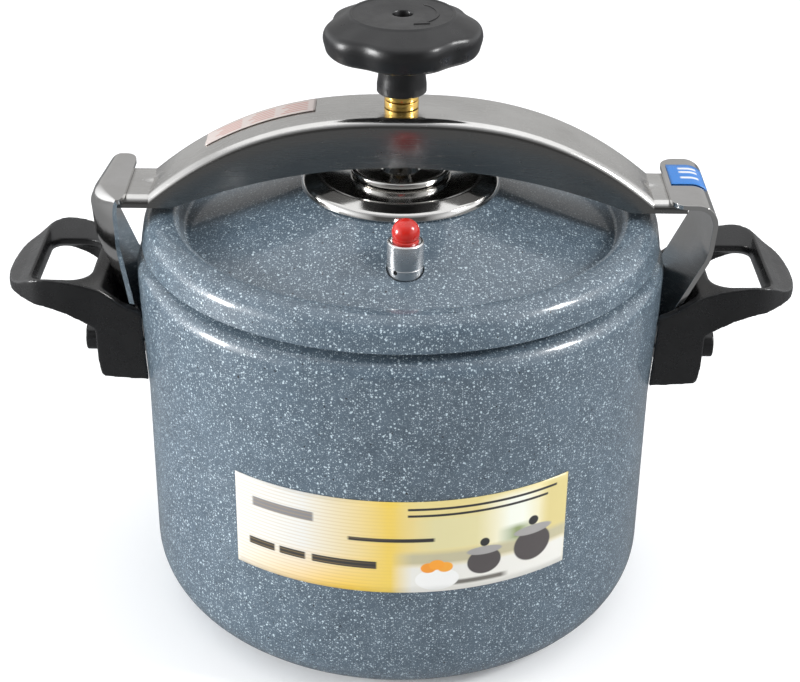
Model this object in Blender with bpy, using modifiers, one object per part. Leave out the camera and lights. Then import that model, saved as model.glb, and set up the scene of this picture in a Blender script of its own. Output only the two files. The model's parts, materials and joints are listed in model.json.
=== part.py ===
"""Clamp-lid pressure cooker: a stock pot with an outer lid held down by a screw bow.

Metres, +Z up. The pot stands on z = 0 with its axis on Z. The handles lie on X and the
release valve faces the front, -Y. The screw, the lid and the bow all turn about Z.
"""

from math import atan2, ceil, cos, exp, hypot, pi, radians, sin, sqrt, tan

import bmesh
import bpy
from mathutils import Matrix

# ---------------------------------------------------------------- driving sizes
GAP = 0.0003  # air left between pieces that touch

POT_RADIUS = 0.130
POT_HEIGHT = 0.2035  # base to the top of the mouth
POT_WALL = 0.0035
POT_FLOOR = 0.005
POT_CORNER = 0.029  # radius of the base corner
SHOULDER_SWELL = 0.0021  # how far the shoulder stands out from the wall
SHOULDER_DROP = 0.0135  # shoulder corner below the mouth
NECK_INSET = 0.0075  # how far the neck is set in from the wall
NECK_HEIGHT = 0.008

LID_SHEET = 0.0025
SKIRT_GAP = 0.0045  # neck to the inside of the lid's skirt
SKIRT_OVERLAP = 0.006  # how far the skirt reaches down over the neck
SKIRT_LEAN = 0.0022
LID_DISH_INSET = 0.0092  # neck to the inner wall of the lid's channel
LID_DISH_LEAN = 0.0038
LID_DISH_DEPTH = 0.011  # channel ceiling to the bottom of the dish
LID_HUB_RADIUS = 0.044
LID_CONE_SLOPE = 0.354
GASKET_WIDTH = 0.0065
GASKET_HEIGHT = 0.0028
GASKET_DOME = 0.0037  # room over the gasket under the rounded channel

DISC_RADIUS = 0.0495
DISC_HEIGHT = 0.005
DISC_DISH = 0.001
DISC_FLAT_RADIUS = 0.0415
STUD_RADIUS = 0.004

VALVE_OFFSET = 0.076  # valve axis from the lid axis
VALVE_ANGLE = radians(-88)
VALVE_RADIUS = 0.0085
VALVE_HEIGHT = 0.0172
VALVE_NECK_RADIUS = 0.0048
VALVE_CHAMBER_RADIUS = 0.0054
VALVE_CAP_INSET = 0.0018  # the cap's ball is this much narrower than the body
VALVE_LIFT = 0.003
VENT_RADIUS = 0.0011
VENT_ANGLE = radians(-124)
VALVE_POCKET_GAP = 0.001
VALVE_POCKET_WALL = 0.0025
VALVE_POCKET_FLOOR = 0.0028
NUT_ACROSS_CORNERS = 0.018

STRAP_SHEET = 0.0024
STRAP_WIDTH = 0.058
STRAP_STANDOFF = 0.0002  # added to GAP, strap leg off the widest part of the wall
STRAP_LEG_BOTTOM = POT_HEIGHT - 0.077
STRAP_BEND_HEIGHT = POT_HEIGHT - 0.0495
HOOK_REACH = 0.0245  # pot wall to the outside of the hook
HOOK_INNER_TIP = 0.001  # pot wall to the tip of the hook's tongue
HOOK_CURL = 0.011
TONGUE_CORNER = 0.008
STOP_CURL = 0.0145  # how far the left hook's front edge is curled in, as a stop for the bow
STOP_START = 0.008  # where across the strap the curl begins
REAR_PULL = 0.0035  # how far the left hook's rear edge is drawn in
TIP_SETBACK = 0.0035  # left hook's tongue, shorter at the tip

BOW_WIDTH = 0.0395
BOW_SHEET = 0.0028
BOW_EDGE = 0.0045
BOW_RISE = 0.0411  # flat ends to the top of the arch
BOW_SEAT_HEIGHT = 0.019  # mouth of the pot to the top of the flat ends
BOW_END_GAP = 0.0121  # end of the bow to the inside of the hook
BOW_FLAT_START = 0.0065  # flat ends begin this far inside the pot wall
BOW_DEPTH_MIDDLE = 0.0242
BOW_DEPTH_END = 0.0058
BOW_CLEARANCE = 0.009  # least room between the disc and the middle of the bow
BOW_ARCH_POWER = 2.55

SPINDLE_RADIUS = 0.0055
BUSHING_RADIUS = 0.0084
BUSHING_COLLAR = 0.0036
BUSHING_BODY_RADIUS = 0.0072
CUP_RADIUS = 0.025
CUP_SHEET = 0.0015
CUP_RIM = 0.0036
CUP_BOSS_RISE = 0.0034
SCREW_TRAVEL = 0.005

KNOB_RADIUS = 0.0388  # to the tip of a lobe
KNOB_GROOVE = 0.0034
KNOB_GROOVE_WIDTH = radians(14)
KNOB_LOBES = 5
KNOB_GROOVE_ANGLE = radians(-48)
KNOB_STEPS = 60  # a multiple of the lobes, so that each groove is alike
KNOB_HEIGHT = 0.0185
KNOB_STEM_HEIGHT = 0.0208
KNOB_STEM_RADIUS = 0.0121
KNOB_FACE_RADIUS = 0.0262
INSERT_RING = 0.0033
KNOB_HOLE_RADIUS = 0.0048

HANDLE_HALF_WIDTH = 0.0373
HANDLE_REACH = 0.0708  # pot wall to the tip of the handle
HANDLE_OPENING = 0.0242  # half the width of the finger opening at its waist
HANDLE_BOTTOM = POT_HEIGHT - 0.0765
HANDLE_BOSS_RADIUS = 0.0075
HANDLE_BOSS_REACH = 0.0325
BOLT_HEIGHT = POT_HEIGHT - 0.069
BOLT_RADIUS = 0.0024
BOLT_HEAD_RADIUS = 0.0045
RIVET_RADIUS = 0.0024
RIVET_HEAD_RADIUS = 0.005
RIVET_HEAD = 0.0016
RIVET_HEIGHT = POT_HEIGHT - 0.06
RIVET_ANGLE = radians(8)

LABEL_BOTTOM = 0.069
LABEL_HEIGHT = 0.0515
LABEL_FROM = radians(-36)
LABEL_TO = radians(38.4)
STICKER_SHEET = 0.0002

BIG_STEPS = 40
SMALL_STEPS = 16

# ---------------------------------------------------------------- derived places
NECK_RADIUS = POT_RADIUS - NECK_INSET
VALVE_CAP_RADIUS = VALVE_RADIUS - VALVE_CAP_INSET
SHOULDER_RADIUS = POT_RADIUS + SHOULDER_SWELL
GASKET_BOTTOM = POT_HEIGHT + GAP
CHANNEL_CEILING = GASKET_BOTTOM + GASKET_HEIGHT + GASKET_DOME
SKIRT_RADIUS = NECK_RADIUS + SKIRT_GAP
DISH_BOTTOM = CHANNEL_CEILING - LID_DISH_DEPTH
DISH_RADIUS = NECK_RADIUS - LID_DISH_INSET - LID_DISH_LEAN
HUB_UNDER = DISH_BOTTOM + (DISH_RADIUS - LID_HUB_RADIUS) * LID_CONE_SLOPE
HUB_TOP = HUB_UNDER + LID_SHEET
DISC_BOTTOM = HUB_TOP + GAP
DISC_TOP = DISC_BOTTOM + DISC_HEIGHT
CUP_BOTTOM = DISC_TOP - DISC_DISH + GAP
CUP_BOSS_TOP = CUP_BOTTOM + CUP_SHEET + CUP_BOSS_RISE
SPINDLE_BOTTOM = CUP_BOSS_TOP + GAP
BOW_END_TOP = POT_HEIGHT + BOW_SEAT_HEIGHT
BOW_TOP = max(BOW_END_TOP + BOW_RISE, DISC_TOP + BOW_CLEARANCE + BOW_DEPTH_MIDDLE)
TONGUE_TOP = BOW_END_TOP + GAP + STRAP_SHEET
HOOK_OUTER = POT_RADIUS + HOOK_REACH
BOW_END = HOOK_OUTER - STRAP_SHEET - BOW_END_GAP
STRAP_LEG = SHOULDER_RADIUS + GAP + STRAP_STANDOFF + STRAP_SHEET
KNOB_BOTTOM = BOW_TOP + BUSHING_COLLAR + 2 * GAP + INSERT_RING + GAP
KNOB_FLANGE = KNOB_BOTTOM + KNOB_STEM_HEIGHT
KNOB_TOP = KNOB_FLANGE + KNOB_HEIGHT


# ---------------------------------------------------------------- paths
def arc(centre_x, centre_z, radius, start, end, steps):
    """Points on an arc, angles in radians from +X."""
    points = []
    for step in range(steps + 1):
        angle = start + (end - start) * step / steps
        points.append((centre_x + radius * cos(angle), centre_z + radius * sin(angle)))
    return points


def rounded_path(corners, finest=radians(30), closed=False):
    """A polyline through corners (x, z, fillet radius), each corner rounded by an arc.

    No edge of an arc turns through more than the finest angle.
    """
    path = []
    count = len(corners)
    for index, (x, z, radius) in enumerate(corners):
        at_end = not closed and index in (0, count - 1)
        if radius == 0 or at_end:
            path.append((x, z))
            continue
        before = corners[index - 1]
        after = corners[(index + 1) % count]
        in_x, in_z = x - before[0], z - before[1]
        out_x, out_z = after[0] - x, after[1] - z
        in_length, out_length = hypot(in_x, in_z), hypot(out_x, out_z)
        turn = atan2(in_x * out_z - in_z * out_x, in_x * out_x + in_z * out_z)
        reach = min(radius * abs(tan(turn / 2)), 0.49 * in_length, 0.49 * out_length)
        if reach < 1e-6:
            path.append((x, z))
            continue
        fillet = reach / abs(tan(turn / 2))
        side = 1 if turn > 0 else -1
        start_x = x - in_x / in_length * reach
        start_z = z - in_z / in_length * reach
        centre_x = start_x - side * in_z / in_length * fillet
        centre_z = start_z + side * in_x / in_length * fillet
        first = atan2(start_z - centre_z, start_x - centre_x)
        steps = max(1, ceil(abs(turn) / finest - 0.01))
        path.extend(arc(centre_x, centre_z, fillet, first, first + turn, steps))
    return path


def offset_path(path, distance):
    """The polyline moved to the right of its direction by distance, with mitred corners."""
    moved = []
    for index, (x, z) in enumerate(path):
        normals = []
        for first, second in ((index - 1, index), (index, index + 1)):
            if first < 0 or second >= len(path):
                continue
            run_x = path[second][0] - path[first][0]
            run_z = path[second][1] - path[first][1]
            length = hypot(run_x, run_z)
            normals.append((run_z / length, -run_x / length))
        sum_x = sum(normal[0] for normal in normals)
        sum_z = sum(normal[1] for normal in normals)
        length = hypot(sum_x, sum_z)
        unit_x, unit_z = sum_x / length, sum_z / length
        stretch = unit_x * normals[0][0] + unit_z * normals[0][1]
        moved.append((x + unit_x * distance / stretch, z + unit_z * distance / stretch))
    return moved


def height_on(path, x):
    """Height of a path at x, for a path that x crosses once."""
    for (x0, z0), (x1, z1) in zip(path, path[1:]):
        if min(x0, x1) <= x <= max(x0, x1) and x0 != x1:
            return z0 + (z1 - z0) * (x - x0) / (x1 - x0)
    return path[-1][1]


# ---------------------------------------------------------------- building blocks
def clear_scene():
    for thing in list(bpy.data.objects):
        bpy.data.objects.remove(thing, do_unlink=True)


def new_collection(name):
    collection = bpy.data.collections.new(name)
    bpy.context.scene.collection.children.link(collection)
    return collection


def finish(name, colour, roughness, metallic=0.0):
    material = bpy.data.materials.new(name)
    material.use_nodes = True
    shader = material.node_tree.nodes["Principled BSDF"]
    shader.inputs["Base Color"].default_value = (*colour, 1.0)
    shader.inputs["Roughness"].default_value = roughness
    shader.inputs["Metallic"].default_value = metallic
    material.diffuse_color = (*colour, 1.0)
    return material


def empty(name, location=(0, 0, 0), parent=None):
    axis = bpy.data.objects.new(name, None)
    axis.empty_display_size = 0.03
    axis.location = location
    axis.parent = parent
    PARTS.objects.link(axis)
    return axis


def add_object(name, mesh, material=None, parent=None, location=(0, 0, 0), turn=0.0):
    """Link a mesh as a part, or as a hidden cutter when it has no material."""
    thing = bpy.data.objects.new(name, mesh)
    thing.location = location
    thing.rotation_euler = (0, 0, turn)
    thing.parent = parent
    if material is None:
        thing.hide_render = True
        thing.display_type = "WIRE"
        CUTTERS.objects.link(thing)
    else:
        if not mesh.materials:
            mesh.materials.append(material)
        PARTS.objects.link(thing)
    return thing


def turned(name, profile, material=None, steps=SMALL_STEPS, **place):
    """A solid of revolution about its own Z axis from an outline in (radius, height).

    The outline runs down the outer side. It is closed unless both ends lie on the axis.
    """
    mesh = bpy.data.meshes.new(name)
    count = len(profile)
    edges = [(index, index + 1) for index in range(count - 1)]
    if profile[0][0] > 0 or profile[-1][0] > 0:
        edges.append((count - 1, 0))
    mesh.from_pydata([(x, 0, z) for x, z in profile], edges, [])
    thing = add_object(name, mesh, material, **place)
    screw = thing.modifiers.new("Turn", "SCREW")
    screw.steps = steps
    screw.render_steps = steps
    screw.use_merge_vertices = True
    screw.merge_threshold = 0.00001
    screw.use_smooth_shade = True
    return thing


def ring(inner, outer, bottom, top):
    """Outline of a plain washer."""
    return [(inner, top), (outer, top), (outer, bottom), (inner, bottom)]


def rod(radius, bottom, top):
    """Outline of a plain solid rod."""
    return [(0, top), (radius, top), (radius, bottom), (0, bottom)]


def cylinder(name, radius, length, location, axis="Z", turn=0.0, steps=SMALL_STEPS, material=None):
    """A capped cylinder centred on location, along Z or along a level direction."""
    mesh = bpy.data.meshes.new(name)
    shape = bmesh.new()
    bmesh.ops.create_cone(shape, cap_ends=True, segments=steps, radius1=radius, radius2=radius, depth=length)
    if axis == "X":
        bmesh.ops.rotate(shape, verts=shape.verts, matrix=Matrix.Rotation(pi / 2, 3, "Y"))
        bmesh.ops.rotate(shape, verts=shape.verts, matrix=Matrix.Rotation(turn, 3, "Z"))
    bmesh.ops.translate(shape, verts=shape.verts, vec=location)
    shape.to_mesh(mesh)
    shape.free()
    return add_object(name, mesh, material)


def hex_nut(name, bore, corners, bottom, top, material, parent, spot=(0, 0)):
    """A hexagonal nut about its parent's axis, which passes through spot."""
    mesh = bpy.data.meshes.new(name)
    shape = bmesh.new()
    height = top - bottom
    bmesh.ops.create_cone(shape, cap_ends=True, segments=6, radius1=corners, radius2=corners, depth=height)
    bmesh.ops.translate(shape, verts=shape.verts, vec=(0, 0, (top + bottom) / 2))
    shape.to_mesh(mesh)
    shape.free()
    nut = add_object(name, mesh, material, parent)
    hole = cylinder(f"{name}_hole_cutter", bore, height * 3, (spot[0], spot[1], (top + bottom) / 2))
    boolean(nut, hole)
    return nut


def grid_sheet(name, rows, thickness, material, **place):
    """An open surface through rows of points, thickened inwards, away from its normals."""
    width = len(rows[0])
    points = [point for row in rows for point in row]
    faces = []
    for row in range(len(rows) - 1):
        for column in range(width - 1):
            first = row * width + column
            faces.append((first, first + width, first + width + 1, first + 1))
    mesh = bpy.data.meshes.new(name)
    mesh.from_pydata(points, [], faces)
    mesh.shade_smooth()
    mesh.set_sharp_from_angle(angle=radians(40))
    thing = add_object(name, mesh, material, **place)
    solidify = thing.modifiers.new("Sheet", "SOLIDIFY")
    solidify.thickness = thickness
    solidify.offset = -1
    solidify.use_even_offset = True
    return thing


def ring_loft(name, rings, material, **place):
    """A closed solid through rings of points, bottom ring first, each end capped by a face."""
    count = len(rings[0])
    points = [point for loop in rings for point in loop]
    faces = [tuple(range(count))[::-1]]
    for level in range(len(rings) - 1):
        for step in range(count):
            first = level * count + step
            beside = level * count + (step + 1) % count
            faces.append((first, beside, beside + count, first + count))
    last = (len(rings) - 1) * count
    faces.append(tuple(range(last, last + count)))
    mesh = bpy.data.meshes.new(name)
    mesh.from_pydata(points, [], faces)
    mesh.shade_smooth()
    mesh.set_sharp_from_angle(angle=radians(40))
    return add_object(name, mesh, material, **place)


def outline_slab(name, loops, half_thickness, upright=False):
    """A flat outline with holes, thickened both ways: level, or upright in X and Z."""
    curve = bpy.data.curves.new(name, "CURVE")
    curve.dimensions = "2D"
    curve.fill_mode = "BOTH"
    curve.extrude = half_thickness
    for loop in loops:
        spline = curve.splines.new("POLY")
        spline.points.add(len(loop) - 1)
        for point, (x, y) in zip(spline.points, loop):
            point.co = (x, y, 0, 1)
        spline.use_cyclic_u = True
    flat = bpy.data.objects.new(name, curve)
    CUTTERS.objects.link(flat)
    if upright:
        flat.rotation_euler = (pi / 2, 0, 0)
    bpy.context.view_layer.update()
    mesh = bpy.data.meshes.new_from_object(flat.evaluated_get(bpy.context.evaluated_depsgraph_get()))
    mesh.transform(flat.matrix_world)
    bpy.data.objects.remove(flat, do_unlink=True)
    shape = bmesh.new()
    shape.from_mesh(mesh)
    bmesh.ops.remove_doubles(shape, verts=shape.verts, dist=0.00001)
    bmesh.ops.recalc_face_normals(shape, faces=shape.faces)
    shape.to_mesh(mesh)
    shape.free()
    return mesh


def boolean(target, other, operation="DIFFERENCE"):
    modifier = target.modifiers.new(other.name, "BOOLEAN")
    modifier.operation = operation
    modifier.object = other


def realised(thing):
    """The object's shape with its modifiers in it, as a mesh of its own."""
    bpy.context.view_layer.update()
    graph = bpy.context.evaluated_depsgraph_get()
    return bpy.data.meshes.new_from_object(thing.evaluated_get(graph))


# ---------------------------------------------------------------- pot
def pot_outside():
    """The pot's outer side from the mouth down to the centre of the base."""
    neck_foot = POT_HEIGHT - NECK_HEIGHT
    shoulder = POT_HEIGHT - SHOULDER_DROP
    swell_end = POT_HEIGHT * 0.58
    corners = [
        (NECK_RADIUS, POT_HEIGHT, 0),
        (NECK_RADIUS, neck_foot, 0.004),
        (SHOULDER_RADIUS + 0.0003, shoulder, 0.014),
        (SHOULDER_RADIUS, POT_HEIGHT * 0.79, 0.05),
        (POT_RADIUS, swell_end, 0.05),
        (POT_RADIUS, 0, POT_CORNER),
        (0, 0, 0),
    ]
    return rounded_path(corners, radians(22.5))


def pot_body(material, parent):
    outside = pot_outside()
    inside = offset_path(outside[:-1], POT_WALL)
    floor_outline = [(x, z) for x, z in inside if z > POT_FLOOR and x > 0]
    profile = [(0, POT_FLOOR), (floor_outline[-1][0], POT_FLOOR), *reversed(floor_outline), *outside]
    return turned("pot_body", profile, material, BIG_STEPS, parent=parent)


def front_label(material, parent):
    outer = POT_RADIUS + GAP + STICKER_SHEET
    steps = 20
    rows = []
    for level in range(2):
        height = LABEL_BOTTOM + LABEL_HEIGHT * level
        row = []
        for step in range(steps + 1):
            angle = LABEL_TO + (LABEL_FROM - LABEL_TO) * step / steps
            row.append((outer * sin(angle), -outer * cos(angle), height))
        rows.append(row)
    return grid_sheet("front_label", rows, STICKER_SHEET, material, parent=parent)


# ---------------------------------------------------------------- straps
def strap_path():
    """Outer face of a strap at its middle, from the leg's foot to the tip of the tongue."""
    corners = [
        (STRAP_LEG, STRAP_LEG_BOTTOM, 0),
        (STRAP_LEG, STRAP_BEND_HEIGHT, 0.012),
        (HOOK_OUTER - 0.002, TONGUE_TOP - 0.0272, 0.025),
        (HOOK_OUTER, TONGUE_TOP, HOOK_CURL),
        (POT_RADIUS + HOOK_INNER_TIP, TONGUE_TOP, 0),
    ]
    path = rounded_path(corners, radians(22.5))
    tip_x = path[-1][0]
    for setback in (TONGUE_CORNER, TONGUE_CORNER * 0.6, TONGUE_CORNER * 0.3, TONGUE_CORNER * 0.1):
        path.insert(-1, (tip_x + setback, TONGUE_TOP))
    return path


def strap_half_width(x, z):
    """Half the width of the strap, narrowed by the round corners of the tongue's tip."""
    setback = x - (POT_RADIUS + HOOK_INNER_TIP)
    if z < TONGUE_TOP - 0.00001 or setback > TONGUE_CORNER:
        return STRAP_WIDTH / 2
    missing = TONGUE_CORNER - setback
    return STRAP_WIDTH / 2 - TONGUE_CORNER + sqrt(TONGUE_CORNER**2 - missing**2)


def strap_point(x, z, y, curl):
    """A point of the strap, curved like the pot at the leg and flat across at the hook.

    A curl of 1 gives the left hook's shape, whose front edge is curled in, and 0 the plain one.
    """
    climb = (z - STRAP_BEND_HEIGHT) / (TONGUE_TOP - STRAP_BEND_HEIGHT)
    climb = min(max(climb, 0), 1)
    settle = max(0, 1 - 2 * climb)
    bend = (STRAP_LEG - sqrt(STRAP_LEG**2 - y**2)) * settle
    half = STRAP_WIDTH / 2
    edge = max(0, (y - STOP_START) / (half - STOP_START)) ** 1.5
    pull = curl * (STOP_CURL * edge + REAR_PULL * max(0, -y / half))
    inner = POT_RADIUS + HOOK_INNER_TIP
    outset = min(max((x - inner) / (HOOK_OUTER - inner), 0), 1)
    shift = curl * TIP_SETBACK * (1 - outset) if z > TONGUE_TOP - HOOK_CURL else 0
    return (x - bend - pull * outset * min(1, 3 * climb) + shift, y, z)


def strap(name, curl, material, parent, turn):
    columns = 10 if curl else 6
    rows = []
    for x, z in strap_path():
        half = strap_half_width(x, z)
        row = []
        for column in range(columns + 1):
            across = half * (1 - 2 * column / columns)
            row.append(strap_point(x, z, across, curl))
        rows.append(row)
    return grid_sheet(name, rows, STRAP_SHEET, material, parent=parent, turn=turn)


def capacity_sticker(material, parent):
    """A small sheet over the bend of the right hook."""
    raised = offset_path(strap_path(), GAP + STICKER_SHEET)
    chosen = [point for point in raised if point[1] > TONGUE_TOP - 0.0035 and point[0] > POT_RADIUS + 0.0025]
    rows = []
    for x, z in chosen:
        rows.append([strap_point(x, z, y, 0) for y in (0.020, 0.012, 0.004, -0.004)])
    return grid_sheet("capacity_sticker", rows, STICKER_SHEET, material, parent=parent)


# ---------------------------------------------------------------- handles
def handle_outline():
    """Plan of a handle, in X and Y."""
    wide = HANDLE_HALF_WIDTH
    tip = POT_RADIUS + HANDLE_REACH
    half = [
        (POT_RADIUS - 0.012, wide - 0.0025, 0),
        (POT_RADIUS + 0.022, wide - 0.002, 0.02),
        (POT_RADIUS + 0.037, wide, 0.03),
        (tip - 0.0198, wide, 0.020),
        (tip - 0.0043, wide - 0.0148, 0.022),
    ]
    mirrored = [(x, -y, radius) for x, y, radius in half]
    return rounded_path([*mirrored, (tip, 0, 0.06), *reversed(half)], closed=True)


def finger_opening():
    """Cutter for the finger opening: narrowest at mid-height, flared above and below."""
    near, far = POT_RADIUS + 0.0245, POT_RADIUS + HANDLE_REACH - 0.0191
    waist, crest = HANDLE_OPENING, HANDLE_HALF_WIDTH - 0.0018
    levels = [
        (-0.03, near - 0.001, far + 0.001, waist + 0.0085),
        (0.0430, near - 0.001, far + 0.001, waist + 0.0085),
        (0.0485, near, far, waist),
        (0.0515, near, far, waist),
        (0.0580, near - 0.002, far + 0.002, crest),
        (0.08, near - 0.002, far + 0.002, crest),
    ]
    rings = []
    for height, start, end, half in levels:
        corners = [(start, -half, 0.011), (end, -half, 0.006), (end, half, 0.006), (start, half, 0.011)]
        outline = rounded_path(corners, closed=True)
        rings.append([(x, y, HANDLE_BOTTOM + height) for x, y in outline])
    return ring_loft("finger_opening_cutter", rings, None)


def handle_side():
    """Side view of a handle, in X and Z: block below, arms rising, the grip drooping to the tip."""
    tip = HANDLE_REACH
    corners = [
        (-0.012, 0.0003, 0),
        (0.0200, 0.0030, 0.003),
        (0.0213, 0.0120, 0),
        (0.0218, 0.0300, 0.002),
        (0.0265, 0.0335, 0.004),
        (0.0360, 0.0395, 0.01),
        (0.0450, 0.0432, 0.02),
        (tip - 0.0045, 0.0450, 0.003),
        (tip, 0.0474, 0.002),
        (tip - 0.0032, 0.0494, 0.003),
        (tip - 0.0105, 0.0525, 0.01),
        (tip - 0.0180, 0.0572, 0.012),
        (tip - 0.0258, 0.0584, 0.012),
        (0.0360, 0.0574, 0.02),
        (0.0278, 0.0552, 0.02),
        (0.0180, 0.0515, 0.02),
        (0.0070, 0.0430, 0.02),
        (-0.012, 0.0345, 0),
    ]
    placed = [(POT_RADIUS + x, HANDLE_BOTTOM + z, radius) for x, z, radius in corners]
    return rounded_path(placed, closed=True)


def strap_pocket():
    """Cutter that leaves room for the strap and its weld nut behind the handle."""
    outside = [(x + 0.003, z) for x, z in strap_path() if z < TONGUE_TOP - HOOK_CURL - 0.001]
    top = outside[-1]
    low, high, deep = HANDLE_BOTTOM - 0.02, top[1] + 0.02, POT_RADIUS - 0.04
    loop = [(deep, low), (outside[0][0], low), *outside, (top[0], high), (deep, high)]
    half = STRAP_WIDTH / 2 + GAP + 0.0004
    return add_object("strap_pocket_cutter", outline_slab("strap_pocket", [loop], half, upright=True))


def handle_mesh(material):
    """One handle, on +X."""
    deep = HANDLE_HALF_WIDTH + 0.02
    middle = HANDLE_BOTTOM + 0.03
    plan = outline_slab("handle_plan", [handle_outline()], 0.05)
    plan.transform(Matrix.Translation((0, 0, middle)))
    body = add_object("handle_body", plan)
    side = add_object("handle_side_cutter", outline_slab("handle_side", [handle_side()], deep, upright=True))
    boolean(body, side, "INTERSECT")
    boolean(body, finger_opening())
    boss_start = POT_RADIUS + 0.015
    boss_end = POT_RADIUS + HANDLE_BOSS_REACH
    boss = cylinder(
        "handle_boss_cutter",
        HANDLE_BOSS_RADIUS,
        boss_end - boss_start,
        ((boss_start + boss_end) / 2, 0, BOLT_HEIGHT + 0.0002),
        "X",
    )
    boolean(body, boss, "UNION")
    boolean(body, strap_pocket())
    clear_of_pot = [(x, z) for x, z in offset_path(pot_outside()[:-1], -GAP * 1.3)]
    wall = turned("pot_clearance_cutter", [(0, POT_HEIGHT), *clear_of_pot, (0, 0)], steps=BIG_STEPS)
    boolean(body, wall)
    shank = cylinder(
        "handle_bolt_hole_cutter", BOLT_RADIUS + GAP, 0.08, (POT_RADIUS + 0.02, 0, BOLT_HEIGHT), "X"
    )
    boolean(body, shank)
    recess_depth = 0.0065
    recess = cylinder(
        "handle_recess_cutter",
        BOLT_HEAD_RADIUS + GAP,
        recess_depth * 2,
        (boss_end, 0, BOLT_HEIGHT),
        "X",
    )
    boolean(body, recess)
    mesh = realised(body)
    mesh.materials.clear()
    mesh.materials.append(material)
    mesh.shade_smooth()
    mesh.set_sharp_from_angle(angle=radians(32))
    bpy.data.objects.remove(body, do_unlink=True)
    return mesh


def handle_bolt(name, material, parent, turn):
    """Pan-head bolt along +X of its own frame, its point in the strap."""
    head_seat = POT_RADIUS + HANDLE_BOSS_REACH - 0.0065 + GAP
    point = STRAP_LEG - STRAP_SHEET + GAP
    profile = [
        (0, head_seat + 0.0028),
        (BOLT_HEAD_RADIUS * 0.6, head_seat + 0.0026),
        (BOLT_HEAD_RADIUS, head_seat + 0.0014),
        (BOLT_HEAD_RADIUS, head_seat),
        (BOLT_RADIUS, head_seat),
        (BOLT_RADIUS, point),
        (0, point),
    ]
    bolt = turned(name, profile, material, 12, parent=parent, location=(0, 0, BOLT_HEIGHT))
    bolt.rotation_euler = (0, pi / 2, turn)
    return bolt


def weld_nut(name, material, parent, turn):
    """Round nut welded on the outside of the strap."""
    seat = STRAP_LEG + GAP
    profile = ring(BOLT_RADIUS + GAP, BOLT_RADIUS + 0.0036, seat, seat + 0.0022)
    nut = turned(name, profile, material, 12, parent=parent, location=(0, 0, BOLT_HEIGHT))
    nut.rotation_euler = (0, pi / 2, turn)
    return nut


def strap_rivet(name, material, parent, turn):
    """Rivet through strap and pot wall, a flat head at each end, along its own radius."""
    inner = POT_RADIUS - POT_WALL - GAP * 1.5
    outer = STRAP_LEG + GAP * 1.5
    profile = [
        (0, outer + RIVET_HEAD),
        (RIVET_HEAD_RADIUS * 0.7, outer + RIVET_HEAD),
        (RIVET_HEAD_RADIUS, outer + RIVET_HEAD * 0.5),
        (RIVET_HEAD_RADIUS, outer),
        (RIVET_RADIUS, outer),
        (RIVET_RADIUS, inner),
        (RIVET_HEAD_RADIUS, inner),
        (RIVET_HEAD_RADIUS, inner - RIVET_HEAD * 0.5),
        (RIVET_HEAD_RADIUS * 0.7, inner - RIVET_HEAD),
        (0, inner - RIVET_HEAD),
    ]
    rivet = turned(name, profile, material, 12, parent=parent, location=(0, 0, RIVET_HEIGHT))
    rivet.rotation_euler = (0, pi / 2, turn)
    return rivet


def side_fittings(pot, finishes, parent):
    """Both straps and handles with what holds them, and the holes they need in the pot."""
    mesh = handle_mesh(finishes["bakelite"])
    for side, turn in (("right", 0), ("left", pi)):
        curl = 1 if side == "left" else 0
        plate = strap(f"{side}_strap", curl, finishes["steel"], parent, turn)
        add_object(f"{side}_handle", mesh, finishes["bakelite"], parent, turn=turn)
        handle_bolt(f"{side}_handle_bolt", finishes["steel"], parent, turn)
        weld_nut(f"{side}_weld_nut", finishes["steel"], parent, turn)
        bolt_hole = cylinder(
            f"{side}_bolt_hole_cutter", BOLT_RADIUS + GAP, 0.008, (STRAP_LEG, 0, BOLT_HEIGHT), "X", steps=12
        )
        bolt_hole.rotation_euler = (0, 0, turn)
        boolean(plate, bolt_hole)
        for place, lean in (("front", -RIVET_ANGLE), ("rear", RIVET_ANGLE)):
            angle = turn + lean * (1 if side == "right" else -1)
            strap_rivet(f"{side}_{place}_rivet", finishes["aluminium"], parent, angle)
            spot = (POT_RADIUS * cos(angle), POT_RADIUS * sin(angle), RIVET_HEIGHT)
            hole = cylinder(
                f"{side}_{place}_rivet_cutter", RIVET_RADIUS + GAP, 0.03, spot, "X", turn=angle, steps=12
            )
            boolean(plate, hole)
            boolean(pot, hole)


# ---------------------------------------------------------------- lid
def lid_under():
    """Underside of the lid from the skirt's edge, over the channel, to the centre hole."""
    channel_wall = NECK_RADIUS - LID_DISH_INSET
    corners = [
        (SKIRT_RADIUS, POT_HEIGHT - SKIRT_OVERLAP, 0),
        (SKIRT_RADIUS - SKIRT_LEAN, CHANNEL_CEILING, 0.007),
        (channel_wall, CHANNEL_CEILING, 0.004),
        (DISH_RADIUS, DISH_BOTTOM, 0.004),
        (LID_HUB_RADIUS, HUB_UNDER, 0.008),
        (STUD_RADIUS + GAP, HUB_UNDER, 0),
    ]
    return rounded_path(corners)


def lid_over():
    return offset_path(lid_under(), LID_SHEET)


def valve_place():
    return (VALVE_OFFSET * cos(VALVE_ANGLE), VALVE_OFFSET * sin(VALVE_ANGLE), 0)


def valve_seat_height():
    """Floor of the valve's pocket: level with the lid at the pocket's front edge."""
    front = VALVE_OFFSET + VALVE_RADIUS + VALVE_POCKET_GAP
    return height_on(lid_over(), front)


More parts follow.
